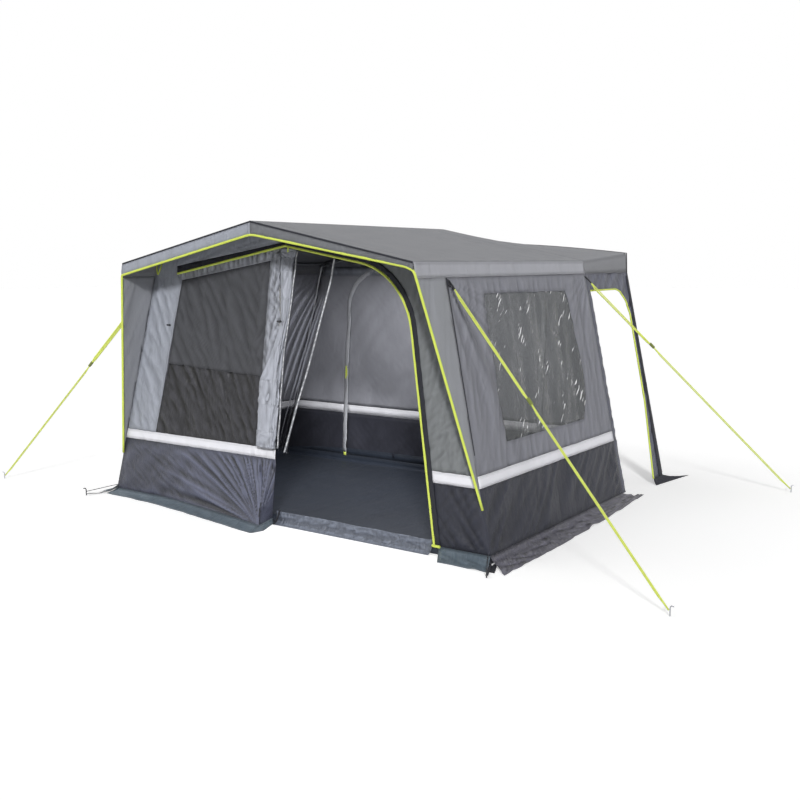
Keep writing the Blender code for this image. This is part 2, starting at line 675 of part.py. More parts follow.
def tunnel():
    """The short covered passage to the vehicle: its roof, its arched sides and the bead at its end."""
    shares = (0.5, 0.0)
    rise = TUNNEL_RIDGE_Z - TUNNEL_EAVE_Z
    front_half = [(WALL_TOP_HALF, WALL_TOP_Z + GAP), (EAVE_HALF, EAVE_Z)]
    front_half += [(EAVE_HALF * c, roof_z(EAVE_HALF * c)) for c in shares]
    rear_half = [(WALL_TOP_HALF, WALL_TOP_Z + GAP), (TUNNEL_EAVE_HALF, TUNNEL_EAVE_Z)]
    rear_half += [(TUNNEL_EAVE_HALF * c, TUNNEL_EAVE_Z + rise * (1 - c ** 1.5)) for c in shares]
    rows = []
    for half, depth, back in ((front_half, rear_y, GAP), (rear_half, tunnel_y, 0.0)):
        full = half + [(-x, z) for x, z in reversed(half[:-1])]
        rows.append([(x, depth(z) + back, z) for x, z in full])
    sheet("tunnel_roof", rows, "roof")

    top = TUNNEL_OPENING_TOP
    radius = TUNNEL_HEADER_RADIUS
    leg_y = tunnel_y(top) - TUNNEL_LEG_TOP
    opening = [(REAR_Y + TUNNEL_FRONT_STRIP, SEAM_Z), (rear_y(top) + TUNNEL_FRONT_STRIP, top)]
    for step in range(7):
        angle = math.pi / 2 * (1 - step / 6)
        opening.append((leg_y - radius + radius * math.cos(angle), top - radius + radius * math.sin(angle)))
    opening.append((tunnel_y(TUNNEL_FLARE_Z) - TUNNEL_LEG_TOP, TUNNEL_FLARE_Z))
    opening.append((TUNNEL_Y - TUNNEL_LEG_FOOT, SEAM_Z))
    outline = [(REAR_Y, SEAM_Z, SEAM)] + [(y, z, SEAM) for y, z in opening]
    outline += [(TUNNEL_Y, SEAM_Z, SEAM), (tunnel_y(WALL_TOP_Z), WALL_TOP_Z, SEAM),
                (rear_y(WALL_TOP_Z), WALL_TOP_Z, SEAM)]
    for wall in ("right", "left"):
        wall_panel("tunnel_side_" + wall, wall, [outline], "dark")

    half = [(side_x(BEAD_FOOT_Z), BEAD_FOOT_Z)] + rear_half
    full = half + [(-x, z) for x, z in reversed(half[:-1])]
    rims = []
    for shift in (-BEAD_WIDTH / 2, BEAD_WIDTH / 2):
        closed = [(*wall_local("tunnel", x, z), shift) for x, z in full]
        closed[-1] = (*closed[-1][:2], 0.0)
        rims.append(inset(closed))
    bead = rims[0] + rims[1][::-1]
    flat_piece("tunnel_bead", wall_frame("tunnel", BEAD_THICK / 2 + 2 * GAP), [bead], BEAD_THICK, "black")


def poles():
    """The frame inside: a hoop at each wall, the brow of the canopy, and the long poles over them."""
    reach = JOINT_R + FOLD
    tilt = math.atan((RIDGE_Z - EAVE_Z) / EAVE_HALF)
    along_drop = Vector((WALL_TOP_HALF - EAVE_HALF, WALL_TOP_Z - EAVE_Z)).normalized()
    slope_in = Vector((-math.sin(tilt), -math.cos(tilt)))
    drop_in = Vector((along_drop.y, -along_drop.x))
    cross = slope_in.x * drop_in.y - slope_in.y * drop_in.x
    eave = Vector((EAVE_HALF, EAVE_Z)) + Vector((drop_in.y - slope_in.y, slope_in.x - drop_in.x)) * (reach / cross)
    crown_z = RIDGE_Z - reach / math.cos(tilt)
    under = POLE_R + JOINT_R + GAP
    brow_y = CANOPY_Y + BROW_SETBACK
    clear = JOINT_R + GAP

    brow = [Vector((eave.x, brow_y, eave.y)), Vector((0, brow_y, crown_z)), Vector((-eave.x, brow_y, eave.y))]
    outwards = (brow[0] - brow[1]).normalized() * POLE_R
    pole_run("canopy_brow", [brow[0] + outwards, brow[1], brow[2] + Vector((-outwards.x, 0, outwards.z))])

    for name, foot_y, hoop_y in (
            ("front_hoop", FRONT_Y + LEG_INSET, front_y(WALL_TOP_Z) + FRONT_HOOP_SETBACK),
            ("rear_hoop", REAR_Y - LEG_INSET, rear_y(WALL_TOP_Z) - REAR_HOOP_SETBACK)):
        foot = Vector((BASE_HALF - LEG_INSET, foot_y, SHEET_THICK + GAP))
        shoulder = Vector((eave.x, hoop_y, eave.y - under + ELBOW_SETTLE))
        crown = Vector((0, hoop_y, crown_z - under))
        pole_run(name, [shoulder, crown, mirrored(shoulder)], foot)

    rear_end = rear_y(WALL_TOP_Z) - REAR_HOOP_SETBACK + JOINT_R
    for name, x, z in (("ridge_pole", 0.0, crown_z), ("eave_pole_right", eave.x, eave.y),
                       ("eave_pole_left", -eave.x, eave.y)):
        tube(name, [Vector((x, brow_y + clear, z)), Vector((x, rear_end, z))], POLE_R, "steel", 4)


def pole_run(name, corners, foot=None):
    """One run of tube with a sleeve round each corner, on flat feet where it has a foot point."""
    sleeve = JOINT_R / POLE_R
    pad = FOOT_R / POLE_R
    stops = [corners[0]] + corners + [corners[-1]]
    run = []
    if foot:
        stops[0] = foot + Vector((0, 0, FOOT_THICK + SLEEVE_STEP))
        stops[-1] = mirrored(stops[0])
        run = [(foot, pad), (foot + Vector((0, 0, FOOT_THICK)), pad), (stops[0], 1.0)]
    for before, corner, after in zip(stops, corners, stops[2:]):
        back = (before - corner).normalized()
        ahead = (after - corner).normalized()
        if back.length > 0:
            run += [(corner + back * SLEEVE_LENGTH, 1.0), (corner + back * (SLEEVE_LENGTH - SLEEVE_STEP), sleeve)]
        run.append((corner, sleeve))
        if ahead.length > 0:
            run += [(corner + ahead * (SLEEVE_LENGTH - SLEEVE_STEP), sleeve), (corner + ahead * SLEEVE_LENGTH, 1.0)]
    if foot:
        run += [(mirrored(point), swell) for point, swell in run[2::-1]]
    finish(bar([point for point, swell in run], POLE_R, 4, [swell for point, swell in run]), name, "steel")


def guys():
    """Corner hooks, three guy ropes with their runners and pegs, and the corner pegs with their loops."""
    front_peg = (BASE_HALF + FRONT_PEG_OUT, FRONT_Y - FRONT_PEG_AHEAD)
    rear_peg = (BASE_HALF + REAR_PEG_OUT, REAR_Y + REAR_PEG_BEHIND)
    for name, side, edge, peg, runner_at in (
            ("front_right", 1, front_y, front_peg, FRONT_RUNNER_AT),
            ("front_left", -1, front_y, front_peg, FRONT_RUNNER_AT),
            ("rear_right", 1, rear_y, rear_peg, REAR_RUNNER_AT)):
        wall = "right" if side == 1 else "left"
        y = edge(WALL_TOP_Z) + (HOOK_INSET if edge is front_y else -HOOK_INSET)
        foot = Vector((side * peg[0], peg[1], 0))
        seat = wall_point(wall, y, WALL_TOP_Z - HOOK_DROP)
        away = Vector((foot.x - seat.x, foot.y - seat.y, 0)).normalized()
        steepness = abs((foot - seat).normalized().z)
        end = foot - away * (PEG_R + ROPE_R * steepness + GAP) + Vector((0, 0, ROPE_END_Z))
        normal = wall_frame(wall).to_3x3() @ Vector((0, 0, 1))
        lean = (end - seat).normalized().dot(normal)
        top = seat + normal * (FOLD + HOOK_R * math.sqrt(1 - lean * lean))
        along = (end - top).normalized()
        hook_end = top + along * HOOK_LENGTH
        tube("hook_" + name, [top, hook_end], HOOK_R, "black")
        start = hook_end + along * GAP
        tube("guy_rope_" + name, [start, end], ROPE_R, "lime")
        runner = ring("runner_" + name, RUNNER_OUTER_R, RUNNER_BORE_R, RUNNER_LENGTH, "black")
        place = Matrix.Translation(start.lerp(end, runner_at))
        runner.matrix_world = place @ along.to_track_quat("Z", "Y").to_matrix().to_4x4()
        finish(bent_peg(foot, away), "guy_peg_" + name, "steel")

    for name, side in (("right", 1), ("left", -1)):
        foot = Vector((side * (BASE_HALF + CORNER_PEG_OUT), FRONT_Y - CORNER_PEG_AHEAD, 0))
        seat = Vector((side * (BASE_HALF - LOOP_INSET), front_y(LOOP_HIGH_Z), LOOP_HIGH_Z))
        lean = (foot - seat).normalized().y
        start = seat - Vector((0, FOLD + LOOP_R * math.sqrt(1 - lean * lean), 0))
        away = Vector((foot.x - start.x, foot.y - start.y, 0)).normalized()
        loop = bar([start, foot + Vector((0, 0, LOOP_LOW_Z))], LOOP_R, 1)
        joined("corner_peg_" + name, [bent_peg(foot, away), loop], "steel")


def bent_peg(foot, away):
    """The part of a wire peg that stands out of the ground: an upright stem and a turned-over top."""
    top = foot + Vector((0, 0, PEG_HEIGHT))
    bend = foot + Vector((0, 0, PEG_HEIGHT * 0.8))
    return bar([foot, bend, top + away * PEG_BEND, top + away * PEG_REACH], PEG_R)


def ring(name, outer, bore, length, colour):
    """A sleeve turned about Z from its cut outline."""
    mesh = bpy.data.meshes.new(name)
    shape = bmesh.new()
    corners = [(outer, length / 2), (outer, -length / 2), (bore, -length / 2), (bore, length / 2)]
    verts = [shape.verts.new((x, 0, z)) for x, z in corners]
    for i in range(4):
        shape.edges.new((verts[i], verts[(i + 1) % 4]))
    shape.to_mesh(mesh)
    shape.free()
    obj = bpy.data.objects.new(name, mesh)
    turn = obj.modifiers.new("Turned", "SCREW")
    turn.steps = 16
    turn.render_steps = 16
    turn.use_merge_vertices = True
    turn.merge_threshold = 0.0001
    return finish(obj, name, colour)


def box(name, size, centre, colour):
    mesh = bpy.data.meshes.new(name)
    shape = bmesh.new()
    bmesh.ops.create_cube(shape, size=1.0)
    bmesh.ops.scale(shape, vec=size, verts=shape.verts)
    bmesh.ops.translate(shape, vec=centre, verts=shape.verts)
    shape.to_mesh(mesh)
    shape.free()
    return finish(bpy.data.objects.new(name, mesh), name, colour)


def small_movers():
    """The rear zip's slider and pull, the front zip's pull and the toggles."""
    width, depth, height = SLIDER_SIZE
    face = -(CLOTH / 2 + GAP + ZIP_THICK + GAP)
    slider = box("rear_zip_slider", (width, height, depth), (0, 0, 0), "lime")
    slider.matrix_world = wall_frame("rear")
    slider.location = wall_point("rear", -REAR_DOOR_HALF, SLIDER_Z, face - depth / 2)

    hang = (0, -PULL_LENGTH / 2, 0)
    pull = box("rear_zip_pull", (PULL_WIDTH, PULL_LENGTH, PULL_THICK), hang, "lime")
    pull.matrix_world = wall_frame("rear")
    pull.location = wall_point("rear", -REAR_DOOR_HALF, SLIDER_Z, face - depth - GAP - PULL_THICK / 2)

    hang = (0, -FRONT_PULL_LENGTH / 2, 0)
    pull = box("front_zip_pull", (FRONT_PULL_WIDTH, FRONT_PULL_LENGTH, PULL_THICK), hang, "lime")
    pull.matrix_world = wall_frame("front")
    out = PIPING_R + GAP + PULL_THICK / 2
    pull.location = wall_point("front", FRONT_PULL_X, gable_z(FRONT_PULL_X), out)

    toggle("toggle_window", *WINDOW_TOGGLE, CLOTH / 2)
    share = TIE_SECTION / (len(BUNDLE) - 1)
    toggle("toggle_door", *bundle_section(share)[:2], bundle_out(share, -math.pi / 2) + GAP)


def toggle(name, x, z, out):
    """A bar toggle on the short stub that it turns about."""
    stub = bar([Vector((0, 0, 0)), Vector((0, 0, TOGGLE_STUB + TOGGLE_R))], TOGGLE_STUB_R, 1)
    ends = [Vector((side * TOGGLE_LENGTH / 2, 0, TOGGLE_STUB + TOGGLE_R)) for side in (-1, 1)]
    whole = joined(name, [stub, bar(ends, TOGGLE_R, 1)], "black")
    whole.matrix_world = wall_frame("front")
    whole.location = wall_point("front", x, z, out + GAP)


def bundle_section(share):
    """Centre, height, half width and half depth of the rolled door at a share of its length."""
    place = share * (len(BUNDLE) - 1)
    index = min(int(place), len(BUNDLE) - 2)
    blend = place - index
    blend = blend * blend * (3 - 2 * blend)
    x, down, half_width, half_depth = [a + (b - a) * blend for a, b in zip(BUNDLE[index], BUNDLE[index + 1])]
    return x, DOOR_PEAK_Z + (BAND_HIGH_Z - DOOR_PEAK_Z) * down, half_width, half_depth


def bundle_out(share, angle):
    """How far a point of the rolled door stands out from the front wall's middle."""
    half_depth = bundle_section(share)[3]
    pleat = 1 + PLEAT * math.cos(7 * angle + 1.5 * share + PLEAT_PHASE) if math.sin(angle) < 0 else 1.0
    return FOLD + half_depth - half_depth * math.sin(angle) * pleat


def doors():
    """The front door rolled and tied beside the doorway, and the inner door drawn back behind it."""
    mesh = bpy.data.meshes.new("rolled_door")
    shape = bmesh.new()
    rings = 20
    bmesh.ops.create_cone(shape, cap_ends=True, cap_tris=False, segments=28, radius1=1.0, radius2=1.0, depth=2.0)
    for level in range(1, rings):
        bmesh.ops.bisect_plane(shape, geom=shape.verts[:] + shape.edges[:] + shape.faces[:], dist=1e-6,
                               plane_co=(0, 0, -1 + 2 * level / rings), plane_no=(0, 0, 1))
    for vert in shape.verts:
        share = (1 - vert.co.z) / 2
        angle = math.atan2(vert.co.y, vert.co.x)
        x, z, half_width, half_depth = bundle_section(share)
        x += half_width * math.cos(angle) * (1 + EDGE_PLEAT * math.cos(7 * angle))
        z = min(z, gable_z(x) - PIPING_R - CLOTH / 2)
        vert.co = wall_point("front", x, z, bundle_out(share, angle))
    bmesh.ops.recalc_face_normals(shape, faces=shape.faces[:])
    shape.to_mesh(mesh)
    shape.free()
    finish(bpy.data.objects.new("rolled_door", mesh), "rolled_door", "light")

    rows = []
    for level in range(13):
        share = level / 12
        row = []
        for step in range(33):
            across = step / 32
            top_x = INNER_TOP[0] + across * (INNER_TOP[1] - INNER_TOP[0])
            foot_x = INNER_FOOT[0] + across * (INNER_FOOT[1] - INNER_FOOT[0])
            top_z = gable_z(top_x) - PIPING_R - 2 * GAP
            drawn = INNER_FOLD * min(1.0, share * 3) * (1 - 0.6 * share)
            back = INNER_BACK * min(1.0, share * 8) + drawn * math.sin(across * 8 * math.pi)
            x = top_x + (foot_x - top_x) * share
            row.append(wall_point("front", x, top_z + (INNER_FOOT_Z - top_z) * share, -back))
        rows.append(row)
    sheet("inner_door", rows, "mid")


ground_pieces()
front_wall()
side_walls()
rear_wall()
roof()
tunnel()
poles()
guys()
small_movers()
doors()
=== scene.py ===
"""Cloth, seams, ropes and finishes of the campervan awning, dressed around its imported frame."""
import math

import bmesh
import bpy
from mathutils import Matrix, Vector, noise


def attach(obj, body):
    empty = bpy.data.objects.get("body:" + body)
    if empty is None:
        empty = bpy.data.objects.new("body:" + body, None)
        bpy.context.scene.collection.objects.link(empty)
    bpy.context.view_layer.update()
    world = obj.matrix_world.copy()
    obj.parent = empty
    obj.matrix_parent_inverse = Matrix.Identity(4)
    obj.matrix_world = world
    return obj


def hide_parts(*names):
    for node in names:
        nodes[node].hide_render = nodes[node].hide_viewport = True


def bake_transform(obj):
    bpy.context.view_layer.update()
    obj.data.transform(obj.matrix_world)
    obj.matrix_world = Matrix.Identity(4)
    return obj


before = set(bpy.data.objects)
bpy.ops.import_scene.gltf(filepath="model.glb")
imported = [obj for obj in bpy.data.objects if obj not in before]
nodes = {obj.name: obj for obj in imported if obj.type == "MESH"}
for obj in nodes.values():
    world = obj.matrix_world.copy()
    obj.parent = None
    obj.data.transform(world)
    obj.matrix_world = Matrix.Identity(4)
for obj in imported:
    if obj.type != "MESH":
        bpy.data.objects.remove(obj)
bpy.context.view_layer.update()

# Camera
YAW, PITCH, ROLL = 0.6193, 0.1375, -0.005
FOCAL_PIXELS, FRAME_PIXELS = 989.94, 800

sight = Vector((-math.sin(YAW) * math.cos(PITCH), math.cos(YAW) * math.cos(PITCH), -math.sin(PITCH)))
level_right = Vector((math.cos(YAW), math.sin(YAW), 0))
level_up = level_right.cross(sight)
right_axis = level_right * math.cos(ROLL) + level_up * math.sin(ROLL)
up_axis = level_up * math.cos(ROLL) - level_right * math.sin(ROLL)
camera = bpy.data.objects.new("camera", bpy.data.cameras.new("camera"))
camera.data.sensor_width = 36.0
camera.data.lens = FOCAL_PIXELS * camera.data.sensor_width / FRAME_PIXELS
camera.data.clip_end = 200
camera.matrix_world = Matrix((right_axis, up_axis, -sight)).transposed().to_4x4()
camera.location = (4.4404, -5.7627, 1.7308)
bpy.context.scene.collection.objects.link(camera)
bpy.context.scene.camera = camera
bpy.context.scene.view_settings.view_transform = "Standard"

# Sizes shared with the frame
BASE_HALF = 1.65
FRONT_Y, REAR_Y = -0.96, 0.96
SEAM_Z, WALL_TOP_Z = 0.05, 1.645
RISE = WALL_TOP_Z - SEAM_Z
SIDE_TOP_INSET, FRONT_TOP_INSET, REAR_TOP_SETBACK = 0.385, 0.12, 0.10
BAND_LOW_Z, BAND_HIGH_Z = 0.43, 0.50
RIDGE_Z, EAVE_Z = 2.00, 1.74
WALL_TOP_HALF = BASE_HALF - SIDE_TOP_INSET
EAVE_HALF = WALL_TOP_HALF - 0.018
CANOPY_Y = FRONT_Y - 0.19
VALANCE_DROP = 0.085
TUNNEL_LENGTH = 0.785
TUNNEL_Y = REAR_Y + TUNNEL_LENGTH
TUNNEL_EAVE_Z, TUNNEL_RIDGE_Z = 1.80, 1.895
TUNNEL_EAVE_HALF = WALL_TOP_HALF - 0.010
PIPING_R = 0.008
DOOR_PEAK_Z = 1.846
DOOR_GABLE_RATIO = (DOOR_PEAK_Z - WALL_TOP_Z + 0.010) / (WALL_TOP_HALF - 0.075)
DOOR_FOOT_X, DOOR_LEFT_X, DOOR_TOE = 1.265, -0.03, 0.055
DOOR_LEG_RATIO, DOOR_RADIUS = 0.1785, 0.51
ARCH_TAPE = 0.035
VENT_START_X, VENT_END_X = -1.033, WALL_TOP_HALF - 0.065
WINDOW = ((-1.227, BAND_HIGH_Z), (-0.213, BAND_HIGH_Z), (-0.125, 1.750), (-0.983, 1.617))
SIDE_WINDOW = ((-0.45, 1.54), (0.68, 1.53), (0.69, 0.86), (0.57, 0.64), (-0.52, 0.645))
BULGE, BULGE_START = 0.20, 0.30
REAR_DOOR_HALF, REAR_SHOULDER_Z, REAR_PEAK_Z, REAR_RADIUS = 0.95, 1.68, 1.74, 0.36
OPENING_TOP, HEADER_RADIUS, FRONT_STRIP, LEG_TOP, LEG_FOOT, FLARE_Z = 1.52, 0.20, 0.05, 0.095, 0.19, 0.64
ROPE_R = 0.004
ROPES = {
    "front_right": (Vector((1.3236005, -0.8312901, 1.5761452)), Vector((2.7930157, -1.1783568, 0.03)), 0.39),
    "front_left": (Vector((-1.3236005, -0.8312901, 1.5761452)), Vector((-2.7930157, -1.1783568, 0.03)), 0.39),
    "rear_right": (Vector((1.3173752, 1.0668650, 1.5763957)), Vector((2.5939834, 1.8961102, 0.03)), 0.30),
}

# The cloth's thickness, its usual mesh step, and how far one layer lies over another
CLOTH, THIN_CLOTH = 0.0012, 0.0008
GRID = 0.028
OVER = 0.0022
# How far round a point its folds are measured, and the height that counts as a full fold in the painted fold shade
FOLD_REACH, FOLD_UNIT = 0.034, 0.004
ROOM_MIDDLE = Vector((0, 0, 0.9))
WING_FOOT_Z = 0.30
# The doubled rope beside each guy rope: its distance from it, and its thickness against the rope's
UPPER_GAP, LOWER_GAP = 0.0120, 0.0090
UPPER_SIZE, LOWER_SIZE = 1.35, 0.95
SIDES = ((1, "right"), (-1, "left"))
WALLS = {
    "front": (Vector((0, FRONT_Y, SEAM_Z)), Vector((1, 0, 0)), Vector((0, FRONT_TOP_INSET, RISE)), 1),
    "rear": (Vector((0, REAR_Y, SEAM_Z)), Vector((-1, 0, 0)), Vector((0, REAR_TOP_SETBACK, RISE)), -1),
    "right": (Vector((BASE_HALF, 0, SEAM_Z)), Vector((0, 1, 0)), Vector((-SIDE_TOP_INSET, 0, RISE)), 1),
    "left": (Vector((-BASE_HALF, 0, SEAM_Z)), Vector((0, -1, 0)), Vector((SIDE_TOP_INSET, 0, RISE)), -1),
}


def front_y(z):
    return FRONT_Y + FRONT_TOP_INSET * (z - SEAM_Z) / RISE


def rear_y(z):
    return REAR_Y + REAR_TOP_SETBACK * (z - SEAM_Z) / RISE


def tunnel_y(z):
    return TUNNEL_Y + REAR_TOP_SETBACK * (z - SEAM_Z) / RISE


def side_x(z):
    return BASE_HALF - SIDE_TOP_INSET * (z - SEAM_Z) / RISE


def roof_z(x):
    return RIDGE_Z - (RIDGE_Z - EAVE_Z) * abs(x) / EAVE_HALF


def gable_z(x):
    return DOOR_PEAK_Z - DOOR_GABLE_RATIO * abs(x)


def wall_normal(wall):
    origin, across, rise, sign = WALLS[wall]
    return across.cross(rise.normalized())


def wall_spot(wall, u, z, out=0.0):
    origin, across, rise, sign = WALLS[wall]
    return origin + across * (u * sign) + rise * ((z - SEAM_Z) / RISE) + wall_normal(wall) * out


# Finishes
def linear(colour):
    """A colour of 0 to 255 as shown on a screen, as the shader's linear one."""
    return tuple((c / 255 / 12.92 if c <= 10 else ((c / 255 + 0.055) / 1.055) ** 2.4) for c in colour) + (1.0,)


def scaled(colour, factor):
    return tuple(min(1.0, c * factor) for c in colour[:3]) + (1.0,)


def grey(value):
    return (value,) * 3 + (1.0,)


class Net:
    """Short calls that build one node tree."""

    def __init__(self, tree):
        self.tree = tree

    def fill(self, sockets, values):
        """Links each socket to a value that is another socket, or else sets the value on it."""
        for name, value in values.items():
            if isinstance(value, bpy.types.NodeSocket):
                self.tree.links.new(value, sockets[name])
            else:
                sockets[name].default_value = value

    def node(self, kind, values=None, **settings):
        made = self.tree.nodes.new("ShaderNode" + kind)
        for name, value in settings.items():
            setattr(made, name, value)
        self.fill(made.inputs, values or {})
        return made

    def math(self, operation, *values):
        return self.node("Math", dict(enumerate(values)), operation=operation).outputs[0]

    def clamped(self, value, low=0.0):
        return self.math("MINIMUM", self.math("MAXIMUM", value, low), 1.0)

    def mix(self, factor, low, high, blend="MIX"):
        return self.node("Mix", {0: factor, 6: low, 7: high}, data_type="RGBA", blend_type=blend).outputs[2]

    def noise(self, place, scale, **more):
        return self.node("TexNoise", {"Vector": place, "Scale": scale, **more}).outputs["Fac"]

    def parts(self, vector):
        return self.node("SeparateXYZ", {0: vector}).outputs

    def group(self, tree, **values):
        return self.node("Group", values, node_tree=tree).outputs

    def attribute(self, name):
        return self.node("Attribute", attribute_name=name).outputs["Fac"]

    def bump(self, height, distance, strength=1.0):
        return self.node("Bump", {"Height": height, "Distance": distance, "Strength": strength}).outputs[0]

    def seen(self):
        """1 where the camera, a reflection or a see-through surface looks, 0 for the light."""
        ray = self.node("LightPath").outputs
        mirrored = self.math("MAXIMUM", ray["Is Glossy Ray"], ray["Is Transmission Ray"])
        return self.math("MAXIMUM", ray["Is Camera Ray"], mirrored)


def new_group(name, inputs, outputs):
    """A node group with its net, inputs and outputs. An input without a value is a vector."""
    made = bpy.data.node_groups.new(name, "ShaderNodeTree")
    for label, value in inputs.items():
        kind = "NodeSocketVector" if value is None else "NodeSocketFloat"
        socket = made.interface.new_socket(name=label, in_out="INPUT", socket_type=kind)
        if value is not None:
            socket.default_value = value
    for label in outputs:
        made.interface.new_socket(name=label, in_out="OUTPUT", socket_type="NodeSocketFloat")
    return made, Net(made), made.nodes.new("NodeGroupInput").outputs, made.nodes.new("NodeGroupOutput").inputs


# Crossing threads of a plain weave, counted per metre on a piece's own map
WEAVE, net, given, result = new_group("weave", {"Map": None, "Threads": 900.0}, ("Height",))
threads = net.parts(net.node("VectorMath", {0: given["Map"], "Scale": given["Threads"]}, operation="SCALE").outputs[0])
warp, weft = [net.math("SINE", net.math("MULTIPLY", threads[k], math.pi)) for k in (0, 1)]
net.fill(result, {"Height": net.math("MULTIPLY_ADD", net.math("MULTIPLY", warp, weft), 0.5, 0.5)})

# Soft creases of handled cloth: long wrinkles with finer ones among them
CRUMPLE, net, given, result = new_group("crumple", {"Map": None, "Scale": 6.0}, ("Height", "Mottle"))
broad = net.noise(given["Map"], given["Scale"], Detail=3.0, Roughness=0.55, Distortion=0.6)
ridge = net.math("SUBTRACT", 1.0, net.math("MULTIPLY", net.math("ABSOLUTE", net.math("SUBTRACT", broad, 0.5)), 4.0))
fine = net.noise(given["Map"], net.math("MULTIPLY", given["Scale"], 5.3), Detail=5.0)
net.fill(result, {"Height": net.math("MULTIPLY_ADD", fine, 0.35, ridge), "Mottle": fine})

# Two rows of stitches beside a seam, from the distance to it and the way along the cloth
STITCHES, net, given, result = new_group("stitches", {"Distance": 1.0, "Map": None, "Row": 0.008}, ("Thread", "Pucker"))
parted = net.parts(given["Map"])
dash = net.math("SINE", net.math("MULTIPLY", net.math("ADD", parted[0], parted[1]), 2 * math.pi / 0.005))
rows = []
for factor in (1.0, 1.9):
    off = net.math("SUBTRACT", given["Distance"], net.math("MULTIPLY", given["Row"], factor))
    rows.append(net.math("LESS_THAN", net.math("ABSOLUTE", off), 0.0007))
reach = net.math("DIVIDE", given["Distance"], net.math("MULTIPLY", given["Row"], 3.0))
net.fill(result, {"Thread": net.math("MULTIPLY", net.math("MAXIMUM", *rows), net.math("GREATER_THAN", dash, -0.35)),
                  "Pucker": net.math("SUBTRACT", 1.0, net.math("MINIMUM", reach, 1.0))})


def blank(name):
    made = bpy.data.materials.new(name)
    made.use_nodes = True
    return made, Net(made.node_tree), made.node_tree.nodes["Principled BSDF"]


def cloth(name, colour, roughness, crumple, depth, mottle_and_highlight=0.10, folds=0.10, threads=900.0, specular=0.25,
          hem_shade=0.10, alpha=1.0, veil=0.0):
    """Woven cloth on the piece's own map in metres: painted light on fold and crease ridges, painted shade in hollows,
    long creases, stitched hems.
    """
    made, net, shader = blank(name)
    place = net.node("TexCoord").outputs["UV"]
    drawn = net.node("Mapping", {"Vector": place, "Scale": (1.0, 0.34, 1.0), "Rotation": (0, 0, math.radians(12))})
    weave = net.group(WEAVE, Map=place, Threads=threads)
    creases = net.group(CRUMPLE, Map=drawn.outputs[0], Scale=crumple)
    sewn = net.group(STITCHES, Distance=net.attribute("hem"), Map=place)
    # Painted fold shade: lighter where the fold attribute stands high, darker where it sinks, by as much as folds says
    fold_height_and_painted_shade = net.clamped(net.attribute("fold"), -1.0)
    base = linear(colour)
    # Painted highlight on crease ridges: lighter where the bump's creases stand higher, with random mottle among them
    crease_highlight_and_mottle = net.math("ADD", net.math("MULTIPLY_ADD", creases["Height"], 0.6, 0.05), creases["Mottle"])
    tone = net.mix(net.math("MULTIPLY", crease_highlight_and_mottle, 0.5), scaled(base, 1 - mottle_and_highlight), scaled(base, 1 + mottle_and_highlight))
    painted_fold_shade = net.mix(net.math("MULTIPLY_ADD", fold_height_and_painted_shade, 0.5, 0.5), grey(max(0.0, 1 - folds)), grey(1 + folds))
    tone = net.mix(1.0, tone, painted_fold_shade, "MULTIPLY")
    tone = net.mix(net.math("MULTIPLY", sewn["Thread"], 0.35), tone, scaled(base, 0.45))
    tone = net.mix(net.math("MULTIPLY", sewn["Pucker"], hem_shade), tone, grey(0.2), "MULTIPLY")
    height = net.math("MULTIPLY", creases["Height"], depth)
    for part, share in ((weave["Height"], 0.03), (sewn["Pucker"], -0.09), (sewn["Thread"], 0.10)):
        height = net.math("MULTIPLY_ADD", part, share, height)
    if veil:
        alpha = net.math("MULTIPLY_ADD", net.math("MAXIMUM", fold_height_and_painted_shade, 0.0), veil, alpha)
    net.fill(shader.inputs, {
        "Base Color": tone, "Roughness": net.math("MULTIPLY_ADD", creases["Mottle"], 0.14, roughness - 0.07),
        "Normal": net.bump(height, 0.016), "Sheen Weight": 0.03, "Specular IOR Level": specular, "Alpha": alpha})
    return made


def film_finish(name):
    """Clear window film with a grey cast, creased, with white glints painted where its folds would catch the light."""
    made, net, shader = blank(name)
    place = net.node("TexCoord").outputs
    creases = net.group(CRUMPLE, Map=place["Object"], Scale=9.0)
    slanted = net.node("Mapping", {"Vector": place["UV"], "Rotation": (0, 0, math.radians(47)),
                                   "Scale": (1 / 7.5, 1 / 70.0, 1.0)}, vector_type="TEXTURE")
    specks = net.noise(slanted.outputs[0], 1.0, Detail=2.0)
    wanted = net.math("MULTIPLY_ADD", net.noise(place["UV"], 5.5), 0.75, specks)
    # Painted glints: white, opaque specks along slanted streaks
    painted_glint = net.clamped(net.math("MULTIPLY", net.math("SUBTRACT", wanted, 1.065), 18.0))
    clear = net.math("MULTIPLY_ADD", creases["Mottle"], 0.20, 0.42)
    net.fill(shader.inputs, {
        "Base Color": net.mix(painted_glint, linear((84, 87, 88)), linear((246, 246, 248))), "Roughness": 0.14,
        "Specular IOR Level": 0.45, "Alpha": net.math("MAXIMUM", clear, painted_glint),
        "Normal": net.bump(creases["Height"], 0.004, 0.7)})
    return made


def solid_finish(name, colour, roughness, metallic=0.0, grain=60.0, depth=0.0004):
    """Moulded plastic or drawn metal on the object's own place, slightly uneven and worn."""
    made, net, shader = blank(name)
    spots = net.noise(net.node("TexCoord").outputs["Object"], grain, Detail=4.0)
    base = linear(colour)
    net.fill(shader.inputs, {
        "Base Color": net.mix(spots, scaled(base, 0.88), scaled(base, 1.12)), "Metallic": metallic,
        "Roughness": net.math("MULTIPLY_ADD", spots, 0.2, roughness - 0.1), "Normal": net.bump(spots, depth)})
    return made


